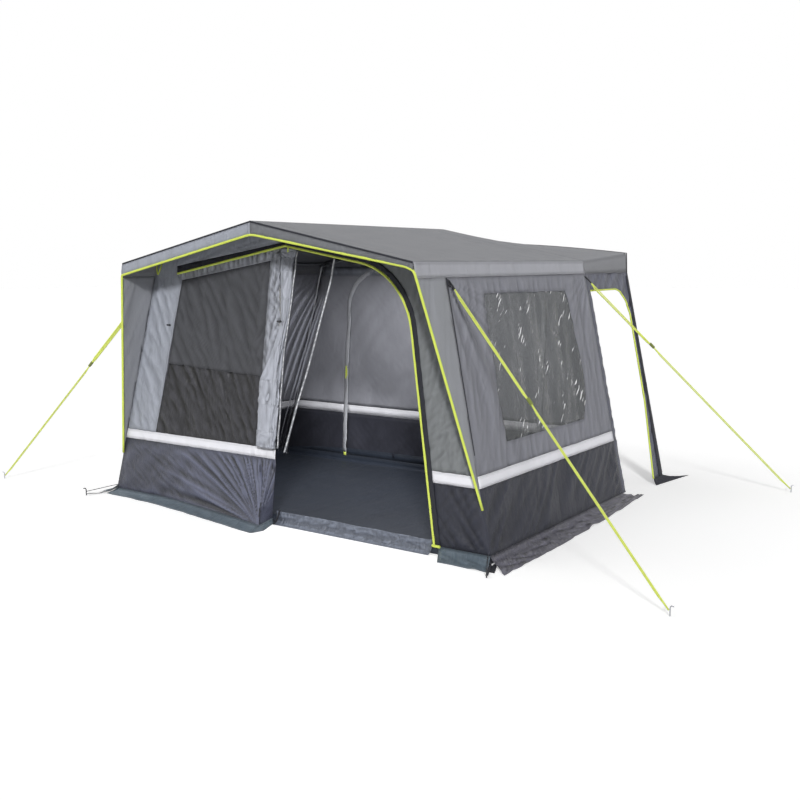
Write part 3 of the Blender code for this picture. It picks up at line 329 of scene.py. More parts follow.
def strand_finish(name, colour, lay=0.010, groove_shade=0.80):
    """Braided cord on its own map, round it and along it, with painted shade in the grooves between its strands."""
    made, net, shader = blank(name)
    parted = net.parts(net.node("TexCoord").outputs["UV"])
    turn = net.math("MULTIPLY", parted[0], 4 * math.pi)
    travel = net.math("MULTIPLY", parted[1], 2 * math.pi / lay)
    braid = net.math("MAXIMUM", net.math("SINE", net.math("ADD", travel, turn)),
                     net.math("SINE", net.math("SUBTRACT", travel, turn)))
    base = linear(colour)
    net.fill(shader.inputs, {
        "Base Color": net.mix(net.math("MULTIPLY_ADD", braid, 0.5, 0.5), scaled(base, groove_shade), base),
        "Roughness": 0.6, "Sheen Weight": 0.2, "Normal": net.bump(braid, 0.0012)})
    return made


def zip_finish(name):
    """Zip tape with a row of teeth along its middle, from the distance to the tape's edges, painted near white in
    random patches as glints.
    """
    made, net, shader = blank(name)
    place = net.node("TexCoord").outputs["UV"]
    teeth = net.math("SINE", net.math("MULTIPLY", net.parts(place)[1], 2 * math.pi / 0.006))
    middle = net.math("GREATER_THAN", net.attribute("hem"), 0.0035)
    # Painted glints: the teeth turn near white where this noise is high
    glint_patches = net.clamped(net.math("MULTIPLY_ADD", net.noise(place, 48.0, Detail=1.0), 3.4, -1.2))
    painted_teeth_glint = net.math("MULTIPLY", net.math("MULTIPLY_ADD", teeth, 0.2, 0.8), net.math("MULTIPLY", middle, glint_patches))
    net.fill(shader.inputs, {
        "Base Color": net.mix(painted_teeth_glint, linear((132, 134, 140)), linear((250, 251, 253))), "Roughness": 0.4,
        "Normal": net.bump(painted_teeth_glint, 0.001)})
    return made


FINISH = {
    # cloth: colour, roughness, crease scale, crease depth, range of random mottle and painted crease highlight, painted
    # fold shade
    "roof": cloth("roof_cloth", (132, 133, 137), 0.62, 5.0, 0.20, 0.10, 0.08, hem_shade=0.0),
    "light": cloth("light_cloth", (157, 161, 171), 0.55, 10.0, 0.45, 0.14, 0.12),
    # brow: a darker copy of the valance's light cloth, painted shade on the valance's right half
    "brow": cloth("brow_cloth", (112, 114, 118), 0.55, 9.0, 0.40, 0.14, 0.15),
    "eave": cloth("eave_cloth", (171, 172, 179), 0.60, 6.0, 0.25, 0.10, 0.08, hem_shade=0.0),
    "wing": cloth("wing_cloth", (150, 152, 158), 0.65, 3.0, 0.12, 0.08, 0.06),
    "mid": cloth("mid_cloth", (129, 130, 138), 0.60, 6.0, 0.35, 0.12, 0.17),
    # panel: a darker copy of the front wall's light cloth, painted shade for the right wing's shadow on the panel right
    # of the doorway
    "panel": cloth("panel_cloth", (121, 124, 126), 0.60, 8.0, 0.40, 0.14, 0.16),
    "inner": cloth("inner_cloth", (152, 153, 161), 0.75, 5.0, 0.22, 0.08, 0.05),
    "veil": cloth("screen_cloth", (84, 85, 92), 0.60, 7.0, 0.25, folds=1.7, hem_shade=0.0, alpha=0.13, veil=0.45),
    "crinkled": cloth("crinkled_cloth", (147, 150, 159), 0.42, 15.0, 0.80, 0.28, 0.45, specular=0.6),
    "dark": cloth("dark_cloth", (68, 71, 87), 0.38, 8.0, 0.30, 0.20, 0.78, specular=0.6),
    "deep": cloth("deep_cloth", (34, 36, 47), 0.42, 6.0, 0.35, 0.22, 0.32, specular=0.35),
    "low_rear": cloth("low_rear_cloth", (50, 51, 60), 0.60, 5.0, 0.15, 0.12, 0.12),
    "mesh": cloth("mesh_cloth", (74, 75, 79), 0.65, 6.0, 0.30, 0.16, 0.16, 420.0, alpha=0.95),
    "mesh_low": cloth("mesh_low_cloth", (35, 35, 39), 0.44, 8.0, 0.45, 0.28, 1.0, 420.0, 0.45),
    "white": cloth("white_band", (240, 240, 246), 0.55, 7.0, 0.08, 0.03, 0.03, hem_shade=0.03),
    "pale": cloth("pale_tape", (200, 202, 208), 0.55, 9.0, 0.2, 0.05, hem_shade=0.04),
    "lime_tape": cloth("lime_tape", (224, 238, 104), 0.60, 20.0, 0.05, 0.05, 0.0, 700.0, hem_shade=0.0),
    "tape": cloth("dark_tape", (46, 47, 54), 0.75, 10.0, 0.2, threads=500.0),
    "slate": cloth("slate_sheet", (86, 98, 108), 0.42, 7.0, 0.4, 0.20, 0.25, 350.0, 0.5),
    "grey_sheet": cloth("grey_sheet", (84, 83, 94), 0.38, 12.0, 0.6, 0.30, 0.70, 350.0, 0.6),
    "floor": cloth("floor_sheet", (41, 47, 58), 0.50, 3.0, 0.25, 0.18, 0.15, 300.0, 0.3),
    "sill": cloth("sill_sheet", (102, 108, 121), 0.38, 13.0, 0.6, 0.24, 0.30, 400.0, 0.5),
    "film": film_finish("window_film"),
    "zip": zip_finish("zip_tape"),
    "rope": strand_finish("lime_rope", (230, 242, 112)),
    "plastic": solid_finish("black_plastic", (26, 26, 29), 0.45),
    "runner": solid_finish("olive_plastic", (112, 122, 52), 0.5),
    "lime_plastic": solid_finish("lime_plastic", (206, 224, 84), 0.5),
    "steel": solid_finish("steel", (178, 180, 184), 0.38, 1.0, 90.0, 0.0002),
    "dark_steel": solid_finish("dark_steel", (52, 53, 56), 0.5, 0.3, 90.0, 0.0002),
}


# Building cloth
def put(shape, label, name, finish, stands_for, rides=True):
    """Turns a shape into a piece with its finish, for the CAD node of its own name or the ones given."""
    mesh = bpy.data.meshes.new(label)
    shape.to_mesh(mesh)
    shape.free()
    mesh.materials.append(FINISH[finish])
    piece = bpy.data.objects.new(label, mesh)
    bpy.context.scene.collection.objects.link(piece)
    if rides:
        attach(piece, "root")
    stands_for = stands_for or [name] * (name in nodes)
    if stands_for:
        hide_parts(*stands_for)
    return piece


def sides_of(loop):
    return list(zip(loop, list(loop[1:]) + [loop[0]]))


def inside(point, loop):
    """Whether a flat point lies in a closed outline."""
    within = False
    for (ax, ay), (bx, by) in sides_of(loop):
        if (ay > point[1]) != (by > point[1]) and point[0] < (bx - ax) * (point[1] - ay) / (by - ay) + ax:
            within = not within
    return within


def distance_to(point, a, b):
    dx, dy = b[0] - a[0], b[1] - a[1]
    px, py = point[0] - a[0], point[1] - a[1]
    share = max(0.0, min(1.0, (px * dx + py * dy) / max(dx * dx + dy * dy, 1e-12)))
    return math.hypot(px - dx * share, py - dy * share)


def rect(width, height, left=0):
    return [(left, 0), (width, 0), (width, height), (left, height)]


def run_lengths(line):
    """How far along a line each of its points lies."""
    lengths = [0.0]
    for a, b in zip(line, line[1:]):
        lengths.append(lengths[-1] + (b - a).length)
    return lengths


def stretch_at(lengths, reach):
    """The stretch of a line that a distance falls in, and the share of that stretch."""
    index = max(k for k in range(len(lengths) - 1) if k == 0 or lengths[k] <= reach)
    return index, (reach - lengths[index]) / (lengths[index + 1] - lengths[index])


def path_length(points):
    return sum(math.dist(a, b) for a, b in zip(points, points[1:]))


def cut_flat(outline, holes, step):
    """A flat sheet of small squares cut to its outline, with its holes taken out."""
    us, vs = [p[0] for p in outline], [p[1] for p in outline]
    width, height = max(us) - min(us), max(vs) - min(vs)
    shape = bmesh.new()
    bmesh.ops.create_grid(shape, x_segments=max(1, round(width / step)), y_segments=max(1, round(height / step)),
                          size=0.5)
    bmesh.ops.scale(shape, vec=(width, height, 1), verts=shape.verts)
    bmesh.ops.translate(shape, vec=((max(us) + min(us)) / 2, (max(vs) + min(vs)) / 2, 0), verts=shape.verts)
    reach = step * 1.6
    for a, b in [side for loop in (outline, *holes) for side in sides_of(loop)]:
        if a[0] == b[0] in (min(us), max(us)) or a[1] == b[1] in (min(vs), max(vs)):
            continue
        low = (min(a[0], b[0]) - reach, min(a[1], b[1]) - reach)
        high = (max(a[0], b[0]) + reach, max(a[1], b[1]) + reach)
        near = []
        for face in shape.faces:
            middle = face.calc_center_bounds()
            if low[0] < middle.x < high[0] and low[1] < middle.y < high[1]:
                near.append(face)
        edges = {edge for face in near for edge in face.edges}
        verts = {vert for face in near for vert in face.verts}
        across = Vector((a[1] - b[1], b[0] - a[0], 0)).normalized()
        bmesh.ops.bisect_plane(shape, geom=near + list(edges) + list(verts), dist=step * 0.12,
                               plane_co=(a[0], a[1], 0), plane_no=across, use_snap_center=True)
    doomed = []
    for face in shape.faces:
        middle = face.calc_center_median()
        if not inside(middle, outline) or any(inside(middle, hole) for hole in holes):
            doomed.append(face)
    bmesh.ops.delete(shape, geom=doomed, context="FACES")
    return shape


def cut_size(outline):
    """The smallest rectangle that the outline can be cut from."""
    sizes = []
    for (ax, ay), (bx, by) in sides_of(outline):
        turn = math.atan2(by - ay, bx - ax)
        along = [x * math.cos(turn) + y * math.sin(turn) for x, y in outline]
        across = [y * math.cos(turn) - x * math.sin(turn) for x, y in outline]
        sizes.append((max(across) - min(across), max(along) - min(along)))
    return min(sizes, key=lambda size: size[0] * size[1])


def mark_folds(shape, step, shades):
    """Stores how far each point stands above or sinks below the cloth around it, in units of 4 mm, plus its given
    shade; the finish paints light and shade from it.
    """
    fold = shape.verts.layers.float.new("fold")
    shape.normal_update()
    before = [(vert.co.copy(), vert.normal.copy()) for vert in shape.verts]
    axes = dict.fromkeys(("use_axis_x", "use_axis_y", "use_axis_z"), True)
    for turn in range(max(3, min(20, round((FOLD_REACH / step) ** 2)))):
        bmesh.ops.smooth_vert(shape, verts=shape.verts[:], factor=1.0, **axes)
    for vert, (place, normal) in zip(shape.verts, before):
        side = 1.0 if normal.dot(place - ROOM_MIDDLE) > 0 else -1.0
        vert[fold] = side * (place - vert.co).dot(normal) / FOLD_UNIT + shades[vert.index]
        vert.co = place


def fabric(name, finish, outline, spot, holes=(), seams=(), step=GRID, thick=CLOTH, held="stretched", on="",
           stands_for=(), cut=None, cut_area=None, shade=None):
    """A sheet of cloth cut flat in metres, then laid where spot(u, v) says."""
    shape = cut_flat(outline, holes, step)
    lines = [side for loop in (outline, *holes) for side in sides_of(loop)] + list(seams)
    area = sum(face.calc_area() for face in shape.faces)
    mapping = shape.loops.layers.uv.new("UVMap")
    hem = shape.verts.layers.float.new("hem")
    for face in shape.faces:
        face.smooth = True
        for corner in face.loops:
            corner[mapping].uv = corner.vert.co.xy
    shape.verts.index_update()
    # shade(u, v) gives each point painted shade below 0 or painted light above 0, added to its fold value
    shades = []
    for vert in shape.verts:
        u, v = vert.co.xy
        vert[hem] = min(distance_to((u, v), a, b) for a, b in lines)
        shades.append(shade(u, v) if shade else 0.0)
        vert.co = spot(u, v)
    mark_folds(shape, step, shades)
    piece = put(shape, name + "_cloth" * (name in nodes), name, finish, stands_for)
    wall = piece.modifiers.new("Thickness", "SOLIDIFY")
    wall.thickness = thick
    wall.offset = 0.0
    width, length = cut or cut_size(outline)
    return piece


def flat_on(wall, loop):
    """An outline given along a wall and by height, in the wall's own flat metres."""
    origin, across, rise, sign = WALLS[wall]
    return [(u * sign, (z - SEAM_Z) * rise.length / RISE) for u, z in loop]


def wall_sheet(name, wall, finish, loop, holes=(), out=0.0, relief=None, seams=(), **facts):
    """A sheet on a leaning wall. Outlines are given along the wall and by height."""
    origin, across, rise, sign = WALLS[wall]
    shape_of = relief or RELIEF[wall]

    def spot(u, v):
        along, z = u * sign, SEAM_Z + v * RISE / rise.length
        return wall_spot(wall, along, z, out + shape_of(along, z))

    holes, seams = [flat_on(wall, hole) for hole in holes], [tuple(flat_on(wall, pair)) for pair in seams]
    return fabric(name, finish, flat_on(wall, loop), spot, holes, seams, **facts)


def ribbon(name, finish, points, width, toward=None, **facts):
    """A narrow tape along points. Its width lies along toward, or level where none is given."""
    line = [Vector(p) for p in points]
    lengths = run_lengths(line)

    def spot(u, v):
        index, share = stretch_at(lengths, v)
        across = toward
        if across is None:
            across = (line[index + 1] - line[index]).normalized().cross(Vector((0, 0, 1))).normalized()
        return line[index].lerp(line[index + 1], min(1.0, share)) + across * (u - width / 2)

    return fabric(name, finish, rect(width, lengths[-1]), spot, **facts)


def tube(name, points, radius, finish, sides=10, rides=True):
    """A round mesh tube along points, mapped round it and along it."""
    path = [Vector(p) for p in points]
    lengths = run_lengths(path)
    shape = bmesh.new()
    mapping = shape.loops.layers.uv.new("UVMap")
    hem = shape.verts.layers.float.new("hem")
    rings = [bmesh.ops.create_circle(shape, cap_ends=True, segments=sides, radius=1.0)["verts"]]
    edges = list(shape.edges)
    for step in range(1, len(path)):
        made = bmesh.ops.extrude_edge_only(shape, edges=edges)["geom"]
        ring = [item for item in made if isinstance(item, bmesh.types.BMVert)]
        edges = [item for item in made if isinstance(item, bmesh.types.BMEdge) and all(v in ring for v in item.verts)]
        rings.append(ring)
    bmesh.ops.contextual_create(shape, geom=edges)
    up = Vector((0.137, 0.291, 0.947))
    order = {}
    for step, ring in enumerate(rings):
        ahead = (path[min(len(path) - 1, step + 1)] - path[max(0, step - 1)]).normalized()
        side = up.cross(ahead).normalized()
        up = ahead.cross(side)
        for index, vert in enumerate(ring):
            angle = math.atan2(vert.co.y, vert.co.x)
            order[vert] = (index / sides, lengths[step])
            vert[hem] = 1.0
            vert.co = path[step] + (side * math.cos(angle) + up * math.sin(angle)) * radius
    for face in shape.faces:
        face.smooth = len(face.verts) == 4
    bmesh.ops.recalc_face_normals(shape, faces=shape.faces[:])
    for face in shape.faces:
        for corner in face.loops:
            corner[mapping].uv = order[corner.vert]
    return put(shape, name + "_line" * (name in nodes), name, finish, (), rides)


def resampled(points, step):
    """The same line with points at most step apart."""
    points = [Vector(p) for p in points]
    fine = [points[0]]
    for a, b in zip(points, points[1:]):
        count = max(1, math.ceil((b - a).length / step))
        fine += [a.lerp(b, k / count) for k in range(1, count + 1)]
    return fine


def rounded(points, radius, steps=6):
    """A line with its corners turned into short curves."""
    points = [Vector(p) for p in points]
    line = [points[0]]
    for before, corner, after in zip(points, points[1:], points[2:]):
        back, ahead = before - corner, after - corner
        reach = min(radius, back.length * 0.45, ahead.length * 0.45)
        start, end = corner + back.normalized() * reach, corner + ahead.normalized() * reach
        for k in range(steps + 1):
            t = k / steps
            line.append(start * (1 - t) ** 2 + corner * 2 * t * (1 - t) + end * t ** 2)
    line.append(points[-1])
    return line


# How the cloth folds
def ease(value):
    value = max(0.0, min(1.0, value))
    return value * value * (3 - 2 * value)


def drift(u, v, angle, long, short, seed):
    """Smooth folds that run at an angle, long along it and short across it, from -1 to 1."""
    along = u * math.cos(angle) + v * math.sin(angle)
    across = v * math.cos(angle) - u * math.sin(angle)
    return noise.noise(Vector((along / long, across / short, seed))) * 1.6


def crease(u, v, angle, long, short, seed):
    """Sharper folds of the same kind, from about -0.5 to 1."""
    return 1.0 - 2.2 * abs(drift(u, v, angle, long, short, seed))


def fan(u, v, centre, pitch, seed, near, far):
    """Folds that spread from a point where the cloth is drawn together."""
    du, dv = u - centre[0], v - centre[1]
    reach, angle = math.hypot(du, dv), math.atan2(dv, du)
    wave = noise.noise(Vector((angle / pitch, reach * 0.8, seed))) * 1.6
    return (1.0 - 2.2 * abs(wave)) * ease(reach / near) * (1 - ease(reach / far))


def front_relief(x, z):
    held = ease((side_x(z) - abs(x)) / 0.06)
    if x < DOOR_LEFT_X + 0.01:
        held *= 0.25 + 0.75 * ease(min(distance_to((x, z), a, b) for a, b in sides_of(WINDOW)) / 0.055)
        lean = 0.0085 * crease(x, z, -1.05, 0.40, 0.070, 3.1) + 0.010 * drift(x, z, -0.8, 0.6, 0.15, 7.7)
        lean += 0.0040 * crease(x, z, -0.9, 0.14, 0.030, 5.5)
        gather = gable_z(x) - z
        pucker = 0.0050 * math.sin(x * 138 + 7.0 * noise.noise(Vector((x * 9, z * 4, 1.0))))
        pucker *= 0.75 + 1.1 * noise.noise(Vector((x * 16, z * 2, 5.0)))
        pucker *= math.exp(-((gather - 0.035) / 0.045) ** 2)
        strip = ease((x + 0.26) / 0.06)
        rough = strip * (0.0065 * crease(x, z, 1.15, 0.15, 0.038, 11.0) + 0.003 * crease(x, z, 2.2, 0.08, 0.025, 12.0))
        settle = ease((gather + 0.02) / 0.10)
        return held * (lean * settle + pucker + rough * settle)
    held *= 0.25 + 0.75 * ease((x - DOOR_FOOT_X + DOOR_LEG_RATIO * (z - SEAM_Z)) / 0.14)
    high = 0.006 * crease(x, z, 1.40, 0.45, 0.05, 5.0) + 0.004 * crease(x, z, 0.7, 0.15, 0.035, 6.0)
    low = 0.009 * crease(x, z, 2.2, 0.45, 0.060, 8.0) + 0.003 * crease(x, z, 0.9, 0.25, 0.05, 9.0)
    blend = ease((0.48 - z) / 0.06)
    return held * (high * (1 - blend) + low * blend) * ease((z - SEAM_Z) / 0.05)


def side_relief(y, z):
    held = ease((y - front_y(z)) / 0.05) * ease((rear_y(z) - y) / 0.05) * ease((WALL_TOP_Z - z) / 0.08 + 0.15)
    soft = 0.009 * drift(y, z, 1.48, 0.9, 0.16, 2.2) + 0.0055 * crease(y, z, 1.35, 0.5, 0.075, 9.0)
    soft += 0.0025 * crease(y, z, 1.15, 0.2, 0.035, 10.0)
    corner = 0.009 * fan(y, z, (front_y(WALL_TOP_Z), WALL_TOP_Z), 0.14, 4.0, 0.1, 1.3)
    corner += 0.008 * fan(y, z, (rear_y(WALL_TOP_Z), WALL_TOP_Z), 0.14, 6.0, 0.1, 1.0)
    low = 0.009 * crease(y, z, 0.66, 0.70, 0.085, 14.0) + 0.009 * drift(y, z, 0.9, 0.6, 0.18, 15.0)
    low += 0.0015 * crease(y, z, 1.30, 0.25, 0.035, 16.0)
    blend = ease((0.50 - z) / 0.10)
    return held * ((soft + corner) * (1 - blend) + low * blend) * ease((z - SEAM_Z) / 0.05)


def rear_relief(x, z):
    held = ease((side_x(z) - abs(x)) / 0.08) * ease((roof_z(x) - z) / 0.10)
    soft = 0.009 * drift(x, z, -1.1, 0.8, 0.20, 21.0) + 0.006 * crease(x, z, 0.9, 0.5, 0.12, 23.0)
    soft += 0.003 * crease(x, z, 0.75, 0.25, 0.05, 24.0)
    return -held * soft * ease((z - SEAM_Z - 0.01) / 0.08)


def wing_relief(y, z):
    return 0.004 * crease(y, z, 1.25, 0.6, 0.05, 31.0) * ease((front_y(z) - y) / 0.03)


def tunnel_relief(y, z):
    return 0.003 * crease(y, z, 0.6, 0.4, 0.06, 71.0) * ease((y - rear_y(z)) / 0.03) * ease((tunnel_y(z) - y) / 0.03)


def gable_relief(x, z):
    return 0.006 * crease(x, z, 0.22, 0.6, 0.028, 111.0) * ease((gable_z(x) + 0.11 - z) / 0.05) * ease(-x / 0.05)


def flat(u, z):
    return 0.0


RELIEF = {"front": front_relief, "right": side_relief, "left": side_relief, "rear": rear_relief}


def corner_spot(side, u, z, out, slack=1.0):
    """A place on the strip that runs along the front wall (u below 0), round the corner and along the side wall."""
    front, beside = wall_normal("front"), wall_normal("right" if side > 0 else "left")
    if u < 0:
        x = side * (side_x(z) + u)
        place, rise = Vector((x, front_y(z), z)), out + front_relief(x, z) * slack
    else:
        y = front_y(z) + u
        place, rise = Vector((side * side_x(z), y, z)), out + side_relief(y, z) * slack
    turn = 0.5 + 0.5 * max(-1.0, min(1.0, u / 0.012))
    return place + (front * (1 - turn) + beside * turn).normalized() * rise


# Guy ropes
for corner_name, (start, end, runner_at) in ROPES.items():
    along = (end - start).normalized()
    rope_path = [start.lerp(end, k / 40) for k in range(41)]
    rope = tube("guy_rope_" + corner_name, rope_path, ROPE_R, "rope")
    below = along.cross(Vector((0, 0, 1))).cross(along).normalized() * -1
    runner = "runner_" + corner_name
    seat = start.lerp(end, runner_at)
    strands = [("upper", start, seat, "root", runner, UPPER_GAP), ("lower", seat, end, runner, "root", LOWER_GAP)]
    if corner_name == "front_left":
        strands.append(("spare", start, seat, "root", runner, -UPPER_GAP))
    for part, near, far, body_a, body_b, spread in strands:
        narrowing, size = (0.0, LOWER_SIZE) if part == "lower" else (0.3, UPPER_SIZE)
        line = []
        for k in range(31):
            share = k / 30
            bow = spread * ease(share * 14) * (1.0 - narrowing * share) * ease((1 - share) * 14)
            line.append(near.lerp(far, share) + below * math.copysign(max(abs(bow), 0.002), spread))
        strand = tube("guy_%s_%s" % (part, corner_name), line, ROPE_R * size, "rope", 8, rides=False)
        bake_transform(strand)
        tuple(near)
        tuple(far)

# Front wall
foot_left, foot_right, head_right, head_left = WINDOW
door_head, wing_head = [(x, gable_z(x)) for x in (DOOR_LEFT_X, VENT_START_X)]
vent_roof = (VENT_START_X, roof_z(VENT_START_X) - 0.004)
wall_sheet("front_left_panel", "front", "light",
           [(-side_x(BAND_HIGH_Z), BAND_HIGH_Z), foot_left, head_left, wing_head, vent_roof,
            (-1.235, roof_z(1.235) - 0.004), (-WALL_TOP_HALF, WALL_TOP_Z)], step=0.014, on="front_hoop")
wall_sheet("front_top_strip", "front", "crinkled", [head_left, head_right, door_head, wing_head], step=0.009,
           on="front_hoop")
wall_sheet("front_door_strip", "front", "crinkled", [foot_right, (DOOR_LEFT_X, BAND_HIGH_Z), door_head, head_right],
           seams=[((-0.117, BAND_HIGH_Z), (-0.075, gable_z(0.075)))], step=0.011, on="front_hoop")
mesh_left, mesh_right = (-1.101, 1.013), (-0.177, 0.973)
wall_sheet("front_mesh_window", "front", "mesh", [mesh_left, mesh_right, head_right, head_left], out=-0.0005,
           step=0.016, on="front_left_panel")
wall_sheet("front_mesh_lower", "front", "mesh_low", [foot_left, foot_right, mesh_right, mesh_left], out=0.0006,
           step=0.014, on="front_mesh_window")


def arch(offset, start_x, foot_z, steps=16):
    """The doorway's edge moved outwards by offset: along the gable, round the shoulder, down the leg."""
    gable_angle = math.atan(DOOR_GABLE_RATIO)
    turn = math.pi / 2 - math.atan(DOOR_LEG_RATIO) - gable_angle
    corner_x = (DOOR_FOOT_X - DOOR_LEG_RATIO * (DOOR_PEAK_Z - SEAM_Z)) / (1 - DOOR_LEG_RATIO * DOOR_GABLE_RATIO)
    tangent = DOOR_RADIUS * math.tan(turn / 2)
    start = Vector((corner_x - tangent * math.cos(gable_angle), gable_z(corner_x) + tangent * math.sin(gable_angle)))
    centre = start + DOOR_RADIUS * Vector((-math.sin(gable_angle), -math.cos(gable_angle)))
    points = [(start_x, gable_z(start_x) + offset / math.cos(gable_angle))]
    radius = DOOR_RADIUS + offset
    for step in range(steps + 1):
        angle = math.pi / 2 - gable_angle - turn * step / steps
        points.append((centre.x + radius * math.cos(angle), centre.y + radius * math.sin(angle)))
    shift = offset / math.cos(math.atan(DOOR_LEG_RATIO))
    return points + [(DOOR_FOOT_X - DOOR_LEG_RATIO * (foot_z - SEAM_Z) + shift, foot_z)]


tape_lift = (PIPING_R + ARCH_TAPE) / math.cos(math.atan(DOOR_GABLE_RATIO))
panel_edge = arch(PIPING_R, 0.0, BAND_HIGH_Z)[1:]
shoulder_x = panel_edge[0][0]
vent_end = (VENT_END_X, gable_z(VENT_END_X) + tape_lift)
# Its darker cloth is painted shade for the right wing's shadow
wall_sheet("front_right_panel", "front", "panel",
           [(shoulder_x, gable_z(shoulder_x) + tape_lift), vent_end, (WALL_TOP_HALF, WALL_TOP_Z),
            (side_x(BAND_HIGH_Z), BAND_HIGH_Z)] + panel_edge[::-1], step=0.014, on="front_hoop")
tape_edge = arch(PIPING_R + ARCH_TAPE, 0.0, SEAM_Z)
wall_sheet("door_arch_tape", "front", "tape", arch(PIPING_R + 0.001, 0.0, SEAM_Z) + tape_edge[::-1], out=0.0045,
           step=0.02, cut=(ARCH_TAPE, path_length(tape_edge)), on="front_right_panel")

vent = [wing_head, (0.0, gable_z(0.0)), (0.0, gable_z(0.0) + 0.026), (VENT_START_X, gable_z(VENT_START_X) + 0.055)]
under_ridge = (0.0, RIDGE_Z - 0.006)
gable_right = [vent_end, (0.0, gable_z(0.0) + tape_lift), under_ridge, (VENT_END_X, roof_z(VENT_END_X) - 0.004)]
wall_sheet("front_gable_vent", "front", "tape", vent, relief=flat, step=0.03, on="front_hoop")
wall_sheet("front_gable_left", "front", "light", [vent[3], vent[2], under_ridge, vent_roof], relief=gable_relief,
           step=0.015, on="front_hoop")
wall_sheet("front_gable_right", "front", "tape", gable_right, relief=flat, step=0.03, on="front_hoop")

arch_line = [(VENT_START_X + 0.006, gable_z(VENT_START_X)), (0.0, gable_z(0.0))]
arch_line += arch(0.0, 0.0, SEAM_Z + PIPING_R)[1:]
arch_points = [wall_spot("front", x, z, 0.002) for x, z in arch_line]
arch_points.append(arch_points[-1] + Vector((0, -2 * PIPING_R - 0.006, 0)))
arch_points.append(arch_points[-1] + Vector((DOOR_TOE, 0, 0)))
tube("door_arch_piping", rounded(resampled(arch_points, 0.06), 0.012, 3), PIPING_R, "lime_tape")

PEG_OUT, DOOR_FOOT = (0.015, FRONT_Y - BULGE), (-0.036, FRONT_Y - 0.010)
PEG_SHARE, BULGE_CURVE = 0.90, 1.25
LOWER_WIDTH, LOWER_HEIGHT = side_x(SEAM_Z) + 0.22, 0.42


def foot_line(share):
    """The foot of the panel left of the doorway: out from the wall to its peg, then back to the doorway's edge."""
    if share > PEG_SHARE:
        back = (share - PEG_SHARE) / (1 - PEG_SHARE)
        return (PEG_OUT[0] + (DOOR_FOOT[0] - PEG_OUT[0]) * back, PEG_OUT[1] + (DOOR_FOOT[1] - PEG_OUT[1]) * back)
    run = share / PEG_SHARE
    out = max(0.0, (run - BULGE_START) / (1 - BULGE_START)) ** BULGE_CURVE
    return (-BASE_HALF + (PEG_OUT[0] + BASE_HALF) * run, FRONT_Y - BULGE * out)


def lower_left_spot(u, v):
    """The panel below the band left of the doorway, pegged out near its lower right corner."""
    share, drop = u / LOWER_WIDTH, 1 - v / LOWER_HEIGHT
    z = BAND_LOW_Z - drop * (BAND_LOW_Z - SEAM_Z + 0.022)
    foot_x, foot_y = foot_line(share)
    head_x = -side_x(BAND_LOW_Z) + (DOOR_LEFT_X + side_x(BAND_LOW_Z)) * share
    y = front_y(z) + (foot_y - FRONT_Y) * drop ** BULGE_CURVE
    du = u - LOWER_WIDTH * PEG_SHARE
    reach, turn = math.hypot(du, v), math.atan2(v, -du)
    wave = math.sin(turn * 19 + 4.6 * noise.noise(Vector((turn * 3.4, reach * 0.5, 5.0))))
    fine = noise.noise(Vector((turn * 11.0, reach * 0.7, 8.0))) * 1.6
    folds = min(0.014, 0.048 * reach) * (0.9 - 1.9 * abs(wave) ** 0.6) * (1 - ease((reach - 0.45) / 0.85))
    folds += min(0.007, 0.03 * reach) * (1 - 2.4 * abs(fine)) * (1 - ease((reach - 0.7) / 0.7))
    folds += 0.006 * drift(u, v, 0.62, 0.60, 0.12, 19.0) * (1 - ease((u - 0.6) / 0.8))
    folds += 0.0018 * crease(u, v, -0.5, 0.25, 0.04, 20.0)
    pin = ease(drop / 0.16) * ease((1 - drop) / 0.10 + 0.2) * ease(share / 0.04) * ease((1 - share) / 0.03 + 0.15)
    return Vector((head_x + (foot_x - head_x) * drop, y - (folds + 0.003) * pin, z))


# Painted shade and light: through its fold shading the panel is painted darker at its left and lighter at its right
fabric("front_left_lower", "dark", rect(LOWER_WIDTH, LOWER_HEIGHT), lower_left_spot, step=0.0078, on="wall_band_left",
       shade=lambda u, v: -0.72 * (1 - ease((u - 0.30) / 0.85)) + 0.26)


# Side walls, bands and lower panels
def wall_quad(low, high):
    """A side wall's outline between two heights."""
    return [(front_y(low), low), (rear_y(low), low), (rear_y(high), high), (front_y(high), high)]


def inner_u(side, z):
    """Where the strip round the corner ends: at the doorway's piping, or at the doorway's left edge."""
    return (arch(PIPING_R, 0.0, z)[-1][0] if side > 0 else -DOOR_LEFT_X) - side_x(z)


def strip_spot(side, low, out, slack=1.0):
    def spot(u, v):
        z = low + v
        if u > 0:
            moved = u * (rear_y(z) - front_y(z)) / (REAR_Y - FRONT_Y)
        else:
            moved = u * inner_u(side, z) / inner_u(side, low)
        return corner_spot(side, moved, z, out, slack)
    return spot


